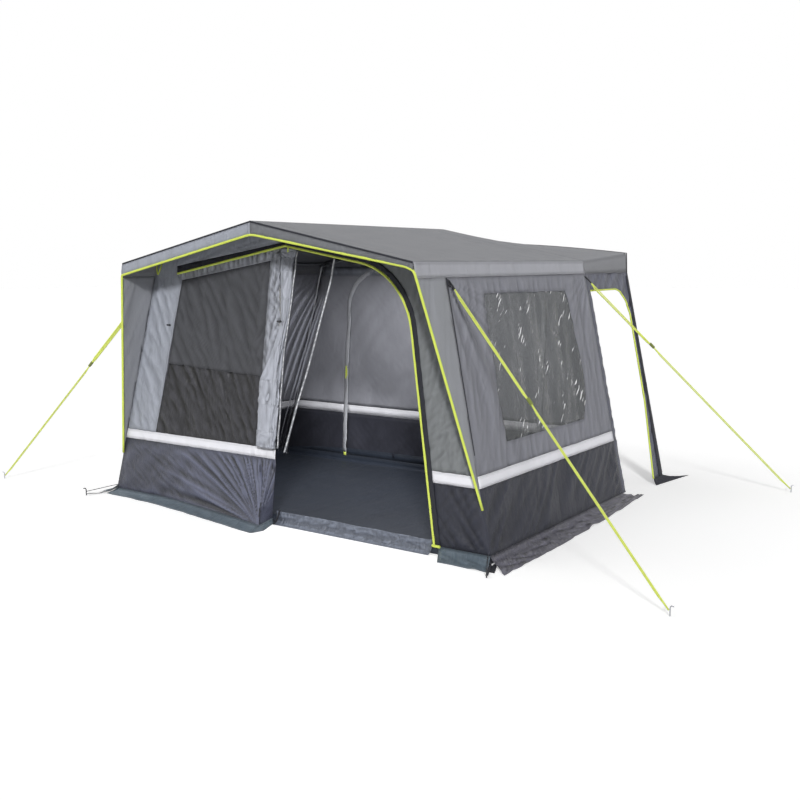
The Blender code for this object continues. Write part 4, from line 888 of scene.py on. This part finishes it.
for side, wall in SIDES:
    wall_sheet(wall + "_wall", wall, "mid", wall_quad(BAND_HIGH_Z, WALL_TOP_Z), [SIDE_WINDOW], step=0.016,
               seams=[((0.80, BAND_HIGH_Z), (0.86, WALL_TOP_Z))], on="eave_pole_" + wall)
    wall_sheet(wall + "_window", wall, "film", SIDE_WINDOW, thick=THIN_CLOTH, on=wall + "_wall")
    wing_foot = (front_y(WING_FOOT_Z), WING_FOOT_Z)
    wing_loop = [(CANOPY_Y + 0.004, WALL_TOP_Z), wing_foot, (front_y(WALL_TOP_Z), WALL_TOP_Z)]
    wall_sheet("wing_" + wall, wall, "wing", wing_loop, step=0.02, held="hung", relief=wing_relief, on=wall + "_wall")
    fabric("wall_band_" + wall, "white", rect(REAR_Y - FRONT_Y, BAND_HIGH_Z - BAND_LOW_Z, inner_u(side, BAND_LOW_Z)),
           strip_spot(side, BAND_LOW_Z, 0.00096, 0.4), step=0.02, on=wall + "_wall")
    if side > 0:
        fabric("right_wall_lower", "deep", rect(REAR_Y - FRONT_Y, BAND_LOW_Z - SEAM_Z, inner_u(side, SEAM_Z)),
               strip_spot(side, SEAM_Z, 0.0), step=0.014, on="wall_band_right")
    else:
        wall_sheet("left_wall_lower", "left", "deep", wall_quad(SEAM_Z, BAND_LOW_Z), on="wall_band_left")

# Rear wall and its door
ZIP_ROOM, ZIP_HALF, ZIP_FOOT_Z = 0.014, 0.019, 0.08


def rear_arch(offset, foot_z, steps=10):
    half, shoulder, radius = REAR_DOOR_HALF + offset, REAR_SHOULDER_Z + offset, REAR_RADIUS + offset
    right = [(half, foot_z)]
    for step in range(steps + 1):
        angle = math.pi / 2 * step / steps
        right.append((half - radius + radius * math.cos(angle), shoulder - radius + radius * math.sin(angle)))
    return right + [(0.0, REAR_PEAK_Z + offset)] + [(-x, z) for x, z in reversed(right)]


edge = rear_arch(0.0, BAND_HIGH_Z)
right_edge = [(side_x(BAND_HIGH_Z), BAND_HIGH_Z), (WALL_TOP_HALF, WALL_TOP_Z), (EAVE_HALF, EAVE_Z)]
upper = [(-x, z) for x, z in edge] + right_edge + [(0.0, RIDGE_Z - 0.004)] + [(-x, z) for x, z in right_edge[::-1]]
wall_sheet("rear_wall", "rear", "inner", upper, step=0.035, on="rear_hoop")
wall_sheet("rear_door", "rear", "inner", edge, step=0.035, on="rear_wall")
for low, high, finish, label in ((SEAM_Z - 0.004, BAND_LOW_Z, "low_rear", "lower"),
                                 (BAND_LOW_Z, BAND_HIGH_Z, "white", "band")):
    for sign, label_side in SIDES:
        edge_x = sign * (REAR_DOOR_HALF + ZIP_ROOM)
        loop = [(edge_x, low), (sign * side_x(low), low), (sign * side_x(high), high), (edge_x, high)]
        wall_sheet("rear_%s_%s" % (label, label_side), "rear", finish, loop, step=0.03, on="rear_wall")
    inner_x = REAR_DOOR_HALF - ZIP_ROOM
    loop = [(-inner_x, low), (inner_x, low), (inner_x, high), (-inner_x, high)]
    wall_sheet("rear_door_" + label, "rear", finish, loop, step=0.035, on="rear_door")

# The floor's edge stands a little way up the rear wall
for label, near, far, near_z, far_z in (("right", 0.964, 1.62, 0.118, 0.110), ("middle", -0.936, 0.936, 0.118, 0.120),
                                        ("left", -1.62, -0.964, 0.060, 0.116)):
    loop = [(near, SEAM_Z + 0.002), (far, SEAM_Z + 0.002), (far, far_z),
            ((near + far) / 2, (near_z + far_z) / 2 + 0.006), (near, near_z)]
    wall_sheet("floor_rear_edge_" + label, "rear", "floor", loop, out=-OVER, step=0.03, on="rear_wall")

outer, inner = rear_arch(ZIP_HALF, ZIP_FOOT_Z), rear_arch(-ZIP_HALF, ZIP_FOOT_Z)
for label, out, stands_for in (("inside", -0.0045, ("rear_door_zip",)), ("outside", 0.0045, ())):
    wall_sheet("rear_door_zip_" + label, "rear", "pale", outer + inner[::-1], out=out, step=0.03,
               cut=(2 * ZIP_HALF, path_length(outer)), stands_for=stands_for, on="rear_wall")

header = [(-WALL_TOP_HALF + 0.01, 1.625), (WALL_TOP_HALF - 0.01, 1.625), (EAVE_HALF, 1.70), (-EAVE_HALF, 1.70)]
wall_sheet("rear_header_strip", "rear", "light", header, out=-0.0035, step=0.035, on="rear_wall")


# Corner tapes, patches and loops
def corner_tape_spot(u, v):
    return corner_spot(1, u - 0.007, 0.62 + v * RISE / math.hypot(RISE, SIDE_TOP_INSET, FRONT_TOP_INSET), OVER)


# A dark tape on the front right corner's seam, wider towards the top, partly painted shadow of the corner's fold
fabric("corner_tape_right", "tape", [(0, 0), (0.014, 0), (0.018, 1.055), (-0.004, 1.055)], corner_tape_spot, step=0.007,
       held="hung", on="right_wall")
patch = [(-0.012, 0.046), (0.022, 0.034), (0.074, -0.006), (0.066, -0.030), (0.030, -0.008), (-0.008, 0.008)]
fabric("hook_patch_right", "tape", patch, lambda u, v: corner_spot(1, u, 1.597 + v, 0.0045), step=0.008, held="hung",
       on="right_wall")
# A dark strip painted as the shadow in the gap between the door's strip and the rolled door's left edge
gap = [(-0.026, 1.800), (-0.021, 1.700), (-0.006, 1.500), (-0.008, 1.420), (-0.024, 1.340), (-0.012, 1.352),
       (0.010, 1.420), (0.012, 1.500), (-0.004, 1.700), (-0.008, 1.800)]
wall_sheet("door_strip_shadow_gap", "front", "tape", gap, out=0.0035, step=0.008, cut=(0.018, 0.47), held="hung",
           on="front_left_panel")

loop_top = Vector((-1.246, front_y(1.735) - 0.006, 1.732))
loop_line = [loop_top] + [loop_top + Vector(step) for step in (
    (0.002, -0.004, -0.05), (0.012, -0.006, -0.082), (0.028, -0.005, -0.055), (0.052, -0.002, -0.004))]
tube("canopy_loop", rounded(loop_line, 0.02, 4), 0.0045, "lime_tape", 8)

# Roof, valance and canopy edge
SLOPE = math.hypot(EAVE_HALF, RIDGE_Z - EAVE_Z)
DROP = math.hypot(WALL_TOP_HALF - EAVE_HALF, EAVE_Z - WALL_TOP_Z)
SIDE_LENGTH = rear_y(EAVE_Z) - CANOPY_Y
BROW_SEAM = 0.15


def below_eave(share):
    """Half width and height at a share of the way from the eave down to the wall's top."""
    return EAVE_HALF + (WALL_TOP_HALF - EAVE_HALF) * share, EAVE_Z - (EAVE_Z - WALL_TOP_Z) * share


def roof_line(reach):
    """Half width and height of the roof at a distance down the cloth from the ridge."""
    if reach > SLOPE:
        return below_eave((reach - SLOPE) / DROP)
    return EAVE_HALF * (reach / SLOPE), RIDGE_Z - (RIDGE_Z - EAVE_Z) * (reach / SLOPE)


def roof_relief(reach, y):
    """How far the slope sags below its straight line between the poles, with ripples near its ends."""
    share = min(1.0, reach / SLOPE)
    to_rear = rear_y(EAVE_Z) - y
    ends = ease((y - CANOPY_Y) / 0.12) * ease(to_rear / 0.10)
    for pole_y in (CANOPY_Y + 0.03, front_y(EAVE_Z) + 0.05, rear_y(EAVE_Z) - 0.045):
        ends *= ease((abs(y - pole_y) - 0.015) / 0.09)
    sag = -0.010 * math.sin(math.pi * share) * ends
    eave = 0.004 * crease(reach, y, 0.2, 0.35, 0.09, 41.0) * ease(share * 2 - 1)
    rear = 0.006 * crease(reach, y, 0.05, 0.5, 0.07, 43.0) * (1 - ease(to_rear / 0.5))
    soft = 0.004 * drift(reach, y, 0.0, 0.6, 0.3, 47.0)
    return sag + (eave + rear + soft) * ends * ease(share * 8) * (1 - 0.6 * ease((reach - SLOPE + 0.03) / 0.03))


for side, label in SIDES:
    def slope_spot(u, v, side=side):
        reach = abs(u)
        x, z = roof_line(reach)
        y = CANOPY_Y + v * (rear_y(z) - CANOPY_Y) / SIDE_LENGTH
        normal = Vector((side * (RIDGE_Z - EAVE_Z), 0, EAVE_HALF)).normalized()
        beyond = ease((reach - SLOPE + 0.02) / 0.04)
        normal = (normal * (1 - beyond) + Vector((side, 0, 0.1)) * beyond).normalized()
        return Vector((side * x, y, z)) + normal * roof_relief(reach, y)

    foot, eave = side * (SLOPE + DROP), side * SLOPE
    fabric("roof_" + label, "roof", rect(max(0, foot), SIDE_LENGTH, min(0, foot)), slope_spot, step=0.031,
           seams=[((foot, BROW_SEAM), (0, BROW_SEAM)), ((eave, 0), (eave, SIDE_LENGTH))],
           on="ridge_pole eave_pole_" + label)


def valance_spot(u, v):
    down = roof_z(u) - v
    fold = 0.0035 * math.sin(math.pi * min(1.0, max(0.0, down / VALANCE_DROP)))
    return Vector((u, CANOPY_Y - 0.001 - fold - 0.002 * crease(u, v, 0.2, 0.5, 0.03, 51.0) * ease(down / 0.03), v))


RIGHT_DROP, RIGHT_SAG = 0.040, 0.052
SEAM_TAPE = 0.0108
low_z = EAVE_Z - VALANCE_DROP
low_half = EAVE_HALF + (WALL_TOP_HALF - EAVE_HALF) * (EAVE_Z - low_z) / (EAVE_Z - WALL_TOP_Z)
middle = [(0.0, RIDGE_Z - VALANCE_DROP), (0.0, RIDGE_Z)]
right_corner = [(EAVE_HALF + 0.004, EAVE_Z - RIGHT_SAG), (EAVE_HALF - 0.05, EAVE_Z - RIGHT_DROP + 0.010)]
fabric("front_valance", "light", [(-EAVE_HALF, EAVE_Z), (-low_half, low_z)] + middle, valance_spot, step=0.015,
       held="hung", on="canopy_brow")
# The right half is painted with shade through its darker cloth
fabric("front_valance_right", "brow", [(EAVE_HALF, EAVE_Z)] + right_corner + middle, valance_spot, step=0.015,
       held="hung", on="canopy_brow")
for side, label in SIDES[::-1]:
    corner = side * EAVE_HALF
    loop = [(corner, EAVE_Z - SEAM_TAPE), (0.0, RIDGE_Z - SEAM_TAPE), (0.0, RIDGE_Z), (corner, EAVE_Z)]
    fabric("canopy_seam_" + label, "tape", loop, lambda u, v: valance_spot(u, v) + Vector((0, -OVER, 0)), step=0.02,
           cut=(SEAM_TAPE, SLOPE), held="hung", on="canopy_brow")

    def eave_band_spot(u, v, side=side):
        share = max(0.0, min(1.0, v / DROP))
        x, z = below_eave(share)
        y = CANOPY_Y + u * (rear_y(z) - CANOPY_Y) / SIDE_LENGTH
        lift = roof_relief(SLOPE + DROP * share, y) + OVER
        return Vector((side * (x + lift), y, z + 0.1 * lift))

    fabric("eave_band_" + label, "eave", [(0, 0.004), (SIDE_LENGTH, 0.004), (SIDE_LENGTH, DROP), (0, DROP)],
           eave_band_spot, step=0.022, on="roof_" + label)

wing_low = wall_spot("right", front_y(WING_FOOT_Z), WING_FOOT_Z)
wing_high = wall_spot("right", CANOPY_Y + 0.003, WALL_TOP_Z)
wing_low -= (wing_low - wing_high).normalized() * 0.012
left_half = [Vector((-p.x, p.y, p.z)) for p in (Vector((low_half - 0.006, CANOPY_Y, low_z)), wing_high, wing_low)]
canopy_line = [wing_low, wing_high] + [Vector((x, CANOPY_Y, z)) for x, z in right_corner + middle[:1]] + left_half
tube("canopy_piping", resampled(rounded(canopy_line, 0.045, 5), 0.08), PIPING_R, "lime_tape")

# Tunnel
TUNNEL_ARC = 2.76
TUNNEL_SHOULDER, BEYOND_SHOULDER = 0.93, 0.07


def tunnel_line(share, reach):
    """Across the tunnel roof at a share of its depth: reach runs from -1 over the ridge to 1."""
    over = abs(reach)
    if over > TUNNEL_SHOULDER:
        t = (over - TUNNEL_SHOULDER) / BEYOND_SHOULDER
        x, z = below_eave(t)
        front = Vector((x, 0, z))
        rear = Vector((TUNNEL_EAVE_HALF + (WALL_TOP_HALF - TUNNEL_EAVE_HALF) * t, 0,
                       TUNNEL_EAVE_Z + (WALL_TOP_Z - TUNNEL_EAVE_Z) * t))
    else:
        t = over / TUNNEL_SHOULDER
        front = Vector((EAVE_HALF * t, 0, roof_z(EAVE_HALF * t)))
        rear = Vector((TUNNEL_EAVE_HALF * t, 0, TUNNEL_EAVE_Z + (TUNNEL_RIDGE_Z - TUNNEL_EAVE_Z) * (1 - t ** 1.5)))
    front.y, rear.y = rear_y(front.z) + 0.001, tunnel_y(rear.z)
    place = front.lerp(rear, share)
    place.x *= 1 if reach > 0 else -1
    return place


def tunnel_roof_spot(u, v):
    share, reach = v / TUNNEL_LENGTH, 2 * u / TUNNEL_ARC
    place = tunnel_line(share, reach)
    slack = math.sin(math.pi * share) * (1 - 0.7 * ease((abs(reach) - 0.85) / 0.1))
    fold = 0.006 * crease(u, v, 0.12, 0.6, 0.09, 61.0) + 0.006 * drift(u, v, 0.1, 0.8, 0.25, 63.0) - 0.006
    place.z += fold * slack
    return place


seam_x = TUNNEL_ARC * 0.465
fabric("tunnel_roof", "roof", rect(TUNNEL_ARC / 2, TUNNEL_LENGTH, -TUNNEL_ARC / 2), tunnel_roof_spot, step=0.03,
       seams=[((x, 0), (x, TUNNEL_LENGTH)) for x in (-seam_x, seam_x)], on="roof_right roof_left")

leg_y = tunnel_y(OPENING_TOP) - LEG_TOP
opening = [(REAR_Y + FRONT_STRIP, SEAM_Z), (rear_y(OPENING_TOP) + FRONT_STRIP, OPENING_TOP)]
for step in range(11):
    angle = math.pi / 2 * (1 - step / 10)
    opening.append((leg_y - HEADER_RADIUS + HEADER_RADIUS * math.cos(angle),
                    OPENING_TOP - HEADER_RADIUS + HEADER_RADIUS * math.sin(angle)))
opening += [(tunnel_y(FLARE_Z) - LEG_TOP, FLARE_Z), (TUNNEL_Y - LEG_FOOT, SEAM_Z)]
strip_head, leg_head = (rear_y(WALL_TOP_Z) + FRONT_STRIP, WALL_TOP_Z), (leg_y, WALL_TOP_Z)
TUNNEL_PARTS = {
    "tunnel_strip_": [(REAR_Y, SEAM_Z), opening[0], opening[1], strip_head, (rear_y(WALL_TOP_Z), WALL_TOP_Z)],
    "tunnel_header_": opening[1:-2] + [leg_head, strip_head],
    "tunnel_side_": opening[-3:] + [(TUNNEL_Y, SEAM_Z), (tunnel_y(WALL_TOP_Z), WALL_TOP_Z), leg_head],
}
LEG_TAPE = [(TUNNEL_Y - 0.075, SEAM_Z), (TUNNEL_Y, SEAM_Z), (tunnel_y(1.62), 1.62), (tunnel_y(1.62) - 0.042, 1.62),
            (tunnel_y(FLARE_Z) - 0.045, FLARE_Z)]
for side, wall in SIDES:
    for part, loop in TUNNEL_PARTS.items():
        wall_sheet(part + wall, wall, "dark", loop, relief=tunnel_relief, step=0.02, held="hung", on="tunnel_roof")
    wall_sheet("tunnel_leg_tape_" + wall, wall, "tape", LEG_TAPE, relief=tunnel_relief, out=0.0035, step=0.02,
               held="hung", on="tunnel_side_" + wall)
    edging = [wall_spot(wall, y, z, tunnel_relief(y, z)) for y, z in opening[1:]]
    tube("tunnel_edging_" + wall, resampled(edging, 0.05), 0.0065, "lime_tape", 8)

bead_line = [wall_spot("right", TUNNEL_Y + REAR_TOP_SETBACK * 0.02 / RISE, 0.07), tunnel_line(1.0, 1.0)]
bead_line += [tunnel_line(1.0, TUNNEL_SHOULDER - TUNNEL_SHOULDER * k / 8) for k in range(9)]
bead_line += [Vector((-p.x, p.y, p.z)) for p in reversed(bead_line[:-1])]
tube("tunnel_bead", resampled([p + Vector((0, 0.003, 0)) for p in bead_line], 0.06), 0.0042, "tape")

# Floor, sill and mud flaps
HALF, FAR = BASE_HALF - 0.004, REAR_Y - 0.004
WIDE, DEEP = HALF + SEAM_Z + 0.010, FAR + SEAM_Z + 0.010


def floor_spot(u, v):
    x, y = max(-HALF, min(HALF, u)), max(-FAR, min(FAR, v))
    over = max(abs(u) - BASE_HALF + 0.004, abs(v) - REAR_Y + 0.004, 0.0)
    packed = 0.0
    for place, depth, lines in ((x, 0.0022, (-0.82, 0.0, 0.83)), (y, 0.0018, (-0.45, 0.02, 0.50))):
        for line in lines:
            packed += depth * math.exp(-((place - line) / 0.016) ** 2)
    ripple = 0.0018 * (1 + crease(x, y, 0.4, 0.6, 0.2, 81.0))
    ripple += 0.0022 * (1 + drift(x, y, 1.1, 0.5, 0.3, 83.0))
    inside_edge = ease(min(BASE_HALF - abs(x), REAR_Y - abs(y)) / 0.05)
    return Vector((x, y, 0.0012 + (packed + ripple) * inside_edge * (over == 0) + over))


tray = [(-HALF, -DEEP), (HALF, -DEEP), (HALF, -FAR), (WIDE, -FAR), (WIDE, FAR), (HALF, FAR), (HALF, DEEP),
        (-HALF, DEEP), (-HALF, FAR), (-WIDE, FAR), (-WIDE, -FAR), (-HALF, -FAR)]
fabric("groundsheet", "floor", tray, floor_spot, step=0.03, held="laid", on="floor")

SILL_LEFT, SILL_RIGHT = DOOR_LEFT_X + 0.024, DOOR_FOOT_X - 0.018
SILL_WIDTH, SILL_LENGTH, SILL_FOLD = SILL_RIGHT - SILL_LEFT, 0.113, 0.057


def sill_spot(u, v):
    x = SILL_LEFT + u
    if v < SILL_FOLD:
        share = v / SILL_FOLD
        place = Vector((x, FRONT_Y - 0.045 + 0.0417 * share, 0.002 + 0.030 * share ** 1.6))
    else:
        place = Vector((x, FRONT_Y - 0.0033, 0.032 + (v - SILL_FOLD)))
    held = ease(u / 0.03) * ease((SILL_WIDTH - u) / 0.03)
    wave = 0.0065 * crease(u, v, 0.06, 0.20, 0.020, 91.0) + 0.004 * crease(u, v, 0.5, 0.1, 0.03, 93.0)
    place.y -= abs(wave) * held * ease(v / 0.03) * (1 - ease((v - 0.10) / 0.012))
    place.z += 0.003 * drift(u, v, 0.0, 0.15, 0.3, 95.0) * ease((v - 0.08) / 0.02) * held
    return place


fabric("door_sill", "sill", rect(SILL_WIDTH, SILL_LENGTH), sill_spot, step=0.009, held="folded", on="groundsheet floor")


def flap(name, near, far, finish="slate", stands_for=(), lift=0.010, seed=1.0):
    """A mud flap from its sewn edge down to the ground, laid out with soft ripples."""
    near, far = [Vector(p) for p in near], [Vector(p) for p in far]
    stations = run_lengths(near)
    width = sum((a - b).length for a, b in zip(near, far)) / len(near)

    def spot(u, v):
        index, share = stretch_at(stations, u)
        a, b = near[index].lerp(near[index + 1], share), far[index].lerp(far[index + 1], share)
        out = max(0.0, min(1.0, v / width))
        place = a.lerp(b, out)
        bend = (1 - out) ** 2.2
        swell = max(0.0, math.sin(math.pi * out)) ** 0.8
        ground = 0.0015 + lift * (0.55 + 0.45 * crease(u, v, 0.15, 0.25, 0.05, seed)) * swell
        ripple = lift * 0.8 * max(0.0, drift(u, v, 1.3, 0.3, 0.10, seed + 5)) * ease(out * 2)
        place.z = a.z * bend + (ground + ripple) * (1 - bend)
        away = b - a
        away.z = 0
        return place + away.normalized() * (0.006 * drift(u, 0.0, 0.0, 0.16, 1.0, seed + 9) * out)

    footprint = [(p.x, p.y) for p in near + far[::-1]]
    quads = [((b - a).cross(c - a).length + (c - a).cross(d - a).length) / 2
             for a, b, c, d in zip(near, near[1:], far[1:], far)]
    return fabric(name, finish, rect(stations[-1], width), spot, step=0.016, held="laid", stands_for=stands_for,
                  on="floor", cut=cut_size(footprint), cut_area=sum(quads))


sewn = SEAM_Z + 0.004
hem_x, hem_y = side_x(sewn) + OVER, FRONT_Y - OVER
tip_y = hem_y - 0.13
flap("mudflap_front_right", [(DOOR_FOOT_X + 0.030, hem_y, sewn), (1.47, hem_y, sewn), (hem_x, hem_y, sewn)],
     [(DOOR_FOOT_X + 0.105, tip_y, 0), (1.55, tip_y, 0), (hem_x + 0.055, tip_y - 0.001, 0)], seed=2.0,
     stands_for=("mudflap_right",))
fabric("corner_gusset", "tape", [(0, 0), (0.09, 0), (0.045, 0.16)],
       lambda u, v: Vector((hem_x + 0.040 - 0.045 + u + 0.012 * (1 - v / 0.16), tip_y + 0.012 + v * 0.86,
                            0.0012 + 0.03 * (v / 0.16) ** 3)), step=0.012, held="laid", on="floor")
flap("mudflap_side_right", [(hem_x, y, sewn) for y in (hem_y, -0.3, 0.35, REAR_Y - 0.006)],
     [(hem_x + 0.165, tip_y + 0.005, 0), (hem_x + 0.155, -0.36, 0), (hem_x + 0.125, 0.40, 0),
      (hem_x + 0.065, REAR_Y + 0.25, 0)], "grey_sheet", seed=3.0, lift=0.020)
near_left, far_left = [], []
for step in range(15):
    share = PEG_SHARE * step / 14
    x, y = foot_line(share)
    near_left.append((x, y - OVER, sewn - 0.020))
    far_left.append((x - 0.03 * (1 - share) + 0.02 * share, y - 0.085 - 0.026 * math.sin(math.pi * share), 0))
for back in (0.25, 0.6, 1.0):
    x, y = foot_line(PEG_SHARE + (1 - PEG_SHARE) * back)
    near_left.append((x + 0.002, y, sewn - 0.020))
    out = 0.085 * (1 - back) ** 1.4 + 0.008
    far_left.append((x + 0.02 + out * 0.55, y - out * 0.75, 0))
flap("mudflap_front_left", near_left, far_left, stands_for=("mudflap_left",), seed=4.0, lift=0.006)
flap("mudflap_side_left", [(-hem_x, y, sewn) for y in (REAR_Y - 0.006, 0.2, hem_y)],
     [(-hem_x - 0.065, REAR_Y + 0.25, 0), (-hem_x - 0.135, 0.2, 0), (-hem_x - 0.105, hem_y - 0.08, 0)], seed=5.0)
for side, label in SIDES:
    flap("mudflap_tunnel_" + label,
         [(side * hem_x, TUNNEL_Y - LEG_FOOT + 0.006, sewn), (side * hem_x, TUNNEL_Y - 0.006, sewn)][::side],
         [(side * (hem_x + 0.0275), TUNNEL_Y - LEG_FOOT, 0), (side * (hem_x + 0.107), TUNNEL_Y + 0.325, 0)][::side],
         "tape", seed=6.0, lift=0.006)

# Rolled door
# Place across, height, half width and half depth of the bundle, from its top down
BUNDLE = (
    (0.032, 1.828, 0.070, 0.0024), (0.031, 1.765, 0.064, 0.0050), (0.030, 1.68, 0.056, 0.020),
    (0.0285, 1.50, 0.038, 0.026), (0.020, 1.35, 0.026, 0.022), (-0.020, 1.19, 0.038, 0.030),
    (-0.090, 0.96, 0.086, 0.036), (-0.100, 0.80, 0.090, 0.036), (-0.109, 0.62, 0.091, 0.032),
    (-0.114, 0.506, 0.087, 0.026),
)
BUNDLE_TURNS, BUNDLE_LENGTH, BUNDLE_CUT = 5.0, 1.325, 1.25
BUNDLE_SHIFT = 0.9


def bundle_section(share):
    place = share * (len(BUNDLE) - 1)
    index = min(int(place), len(BUNDLE) - 2)
    blend = ease(place - index)
    return [a + (b - a) * blend for a, b in zip(BUNDLE[index], BUNDLE[index + 1])]


def bundle_spot(u, v):
    """The door's cloth, rolled up from its free edge in the middle to its sewn edge outside."""
    turn = u / BUNDLE_CUT
    x, z, half_width, half_depth = bundle_section(1 - v / BUNDLE_LENGTH)
    angle = math.radians(-35) - (1 - turn) * BUNDLE_TURNS * 2 * math.pi
    size = 0.22 + 0.78 * turn
    pleat = 1 + size * (0.22 * crease(angle * 0.16, v, 1.5, 0.4, 0.10, 101.0) - 0.05)
    pleat = min(1.12, pleat + 0.12 * crease(angle * 0.10, v, 0.6, 0.20, 0.06, 103.0) * size)
    place_x = x + half_width * math.cos(angle) * size * pleat + BUNDLE_SHIFT * half_depth
    place_z = min(z, gable_z(place_x) - PIPING_R - 0.002)
    return wall_spot("front", place_x, place_z, 0.004 + half_depth * 1.12 - half_depth * math.sin(angle) * size * pleat)


fabric("rolled_door", "crinkled", rect(BUNDLE_CUT, BUNDLE_LENGTH), bundle_spot, step=0.0075, thick=THIN_CLOTH,
       held="gathered", on="front_left_panel")

# Inner door, drawn back
INNER_WIDTH, INNER_LENGTH, INNER_FOOT_Z = 0.42, 1.33, 0.48


def inner_spot(u, v):
    """The inner door hung from the doorway's top and drawn together at its foot."""
    across, share = u / INNER_WIDTH, 1 - v / INNER_LENGTH
    top_x, foot_x = 0.005 + across * 0.415, -0.075 + across * 0.108
    top_z = gable_z(top_x) - PIPING_R
    spread = (INNER_WIDTH - u) / max(INNER_LENGTH - v, 0.02) * INNER_LENGTH / INNER_WIDTH
    spread = spread if spread < 1 else 1 + math.log(spread)
    wave = math.sin(spread * 6.5 * math.pi + 4.2 * noise.noise(Vector((spread * 2.5, share * 1.6, 7.0))))
    sharp = math.copysign(abs(wave) ** 0.8, wave) * (0.75 + 0.7 * noise.noise(Vector((spread * 5, share * 3, 9.0))))
    depth = (0.001 + 0.015 * ease(share * 1.6)) * ease(share * 5) * ease((INNER_WIDTH - u) / 0.05 + share)
    back = 0.022 * ease(share * 8) + depth * sharp
    z = top_z + (INNER_FOOT_Z - top_z) * share
    return wall_spot("front", top_x + (foot_x - top_x) * share, z, -0.004 - back)


def inner_shade(u, v):
    """The screen's painted fold shade and opaque folds show only between the rear wall's band and the doorway's
    shoulder; above and below, it is painted dark and stays see-through.
    """
    return -0.15 - 1.8 * (1 - ease((v - 0.36) / 0.14)) - 1.6 * ease((v - 1.02) / 0.16)


fabric("inner_door", "veil", rect(INNER_WIDTH, INNER_LENGTH), inner_spot, shade=inner_shade, step=0.0085,
       held="gathered", on="front_right_panel")

to_right = Vector((0.81, 0.58, 0))
free_edge = [inner_spot(INNER_WIDTH, INNER_LENGTH * (1 - k / 24)) + Vector((0, -0.003, 0)) for k in range(25)]
roll_edge = []
for k in range(31):
    share = 0.04 + 0.95 * k / 30
    x, z, half_width, half_depth = bundle_section(share)
    place_x = x + BUNDLE_SHIFT * half_depth + half_width * (1.10 + 0.03 * math.sin(share * 40))
    roll_edge.append(wall_spot("front", place_x, min(z, gable_z(place_x) - 0.012), 0.004 + half_depth * 0.95))
for name, line, width in (("inner_door_zip", free_edge, 0.014), ("rolled_door_zip", roll_edge, 0.0115)):
    ribbon(name, "zip", line, width, to_right, step=0.006, held="hung", on="inner_door")

# Tabs and straps
lime_tab = [(-0.964, 0.052), (-0.936, 0.052), (-0.936, 0.080), (-0.964, 0.080)]
tie_tab = [(-0.430, 0.086), (-0.410, 0.086), (-0.414, 0.126), (-0.436, 0.126)]
wall_sheet("rear_zip_end_tab", "rear", "lime_tape", lime_tab, out=-0.0060, step=0.01, held="hung", on="rear_door_zip")
wall_sheet("rear_foot_tie", "rear", "deep", tie_tab, out=-0.0048, step=0.008, held="hung", on="rear_wall")
for side, label in SIDES:
    ribbon("corner_strap_" + label, "tape",
           [(side * (BASE_HALF - 0.01), FRONT_Y - 0.006, SEAM_Z), (side * 1.675, -1.00, 0.016),
            (side * 1.712, -1.09, 0.006), (side * 1.750, -1.168, 0.012)], 0.016, step=0.008, held="laid", on="floor")
ribbon("sill_strap", "tape",
       [(SILL_LEFT + 0.036, FRONT_Y - 0.008, 0.098), (SILL_LEFT + 0.034, FRONT_Y - 0.022, 0.060),
        (SILL_LEFT + 0.026, FRONT_Y - 0.040, 0.020), (SILL_LEFT + 0.016, FRONT_Y - 0.055, 0.006)], 0.018, step=0.008,
       held="laid", on="door_sill")

# Small hard parts
HARD_PARTS = {
    "plastic": "hook_front_right hook_front_left hook_rear_right toggle_window toggle_door",
    "steel": "guy_peg_front_right guy_peg_front_left guy_peg_rear_right front_hoop rear_hoop ridge_pole "
             "eave_pole_left eave_pole_right canopy_brow",
    "dark_steel": "corner_peg_left corner_peg_right",
    "runner": "runner_front_right runner_front_left runner_rear_right",
    "lime_plastic": "rear_zip_slider",
    "lime_tape": "rear_zip_pull front_zip_pull",
}
for finish, names in HARD_PARTS.items():
    for name in names.split():
        for place in nodes[name].material_slots:
            place.material = FINISH[finish]

# Stage and light
shape = bmesh.new()
bmesh.ops.create_grid(shape, x_segments=1, y_segments=1, size=60.0)
floor_mesh = bpy.data.meshes.new("floor")
shape.to_mesh(floor_mesh)
shape.free()
floor = bpy.data.objects.new("floor", floor_mesh)
bpy.context.scene.collection.objects.link(floor)
made, net, shader = blank("pale_floor")
net.fill(shader.inputs, {"Base Color": grey(0.82), "Roughness": 0.9, "Specular IOR Level": 0.0})
glow = net.node("Emission", {"Strength": net.math("MULTIPLY", net.seen(), 0.42)})
both = net.node("AddShader", {0: shader.outputs[0], 1: glow.outputs[0]})
net.fill(made.node_tree.nodes["Material Output"].inputs, {"Surface": both.outputs[0]})
floor.data.materials.append(made)

world = bpy.data.worlds.new("studio")
bpy.context.scene.world = world
world.use_nodes = True
world.node_tree.nodes.clear()
net = Net(world.node_tree)
sky = net.node("Background", {"Color": grey(1.0), "Strength": net.math("MULTIPLY_ADD", net.seen(), 0.76, 0.24)})
net.node("OutputWorld", {"Surface": sky.outputs[0]})


def add_light(name, kind, energy):
    lamp = bpy.data.lights.new(name, kind)
    lamp.energy = energy
    light = bpy.data.objects.new(name, lamp)
    bpy.context.scene.collection.objects.link(light)
    return lamp, light


for name, strength, angle, aim in (("key", 2.3, 7.0, (0.55, -0.74, 0.42)), ("fill", 0.8, 40.0, (-0.60, -0.25, 0.80))):
    lamp, light = add_light(name, "SUN", strength)
    lamp.angle = math.radians(angle)
    light.rotation_euler = Vector(aim).to_track_quat("Z", "Y").to_euler()
lamp, light = add_light("through_roof", "AREA", 27.0)
lamp.shape, lamp.size, lamp.size_y = "RECTANGLE", 1.8, 1.4
light.location = (0.1, 0.0, 1.70)
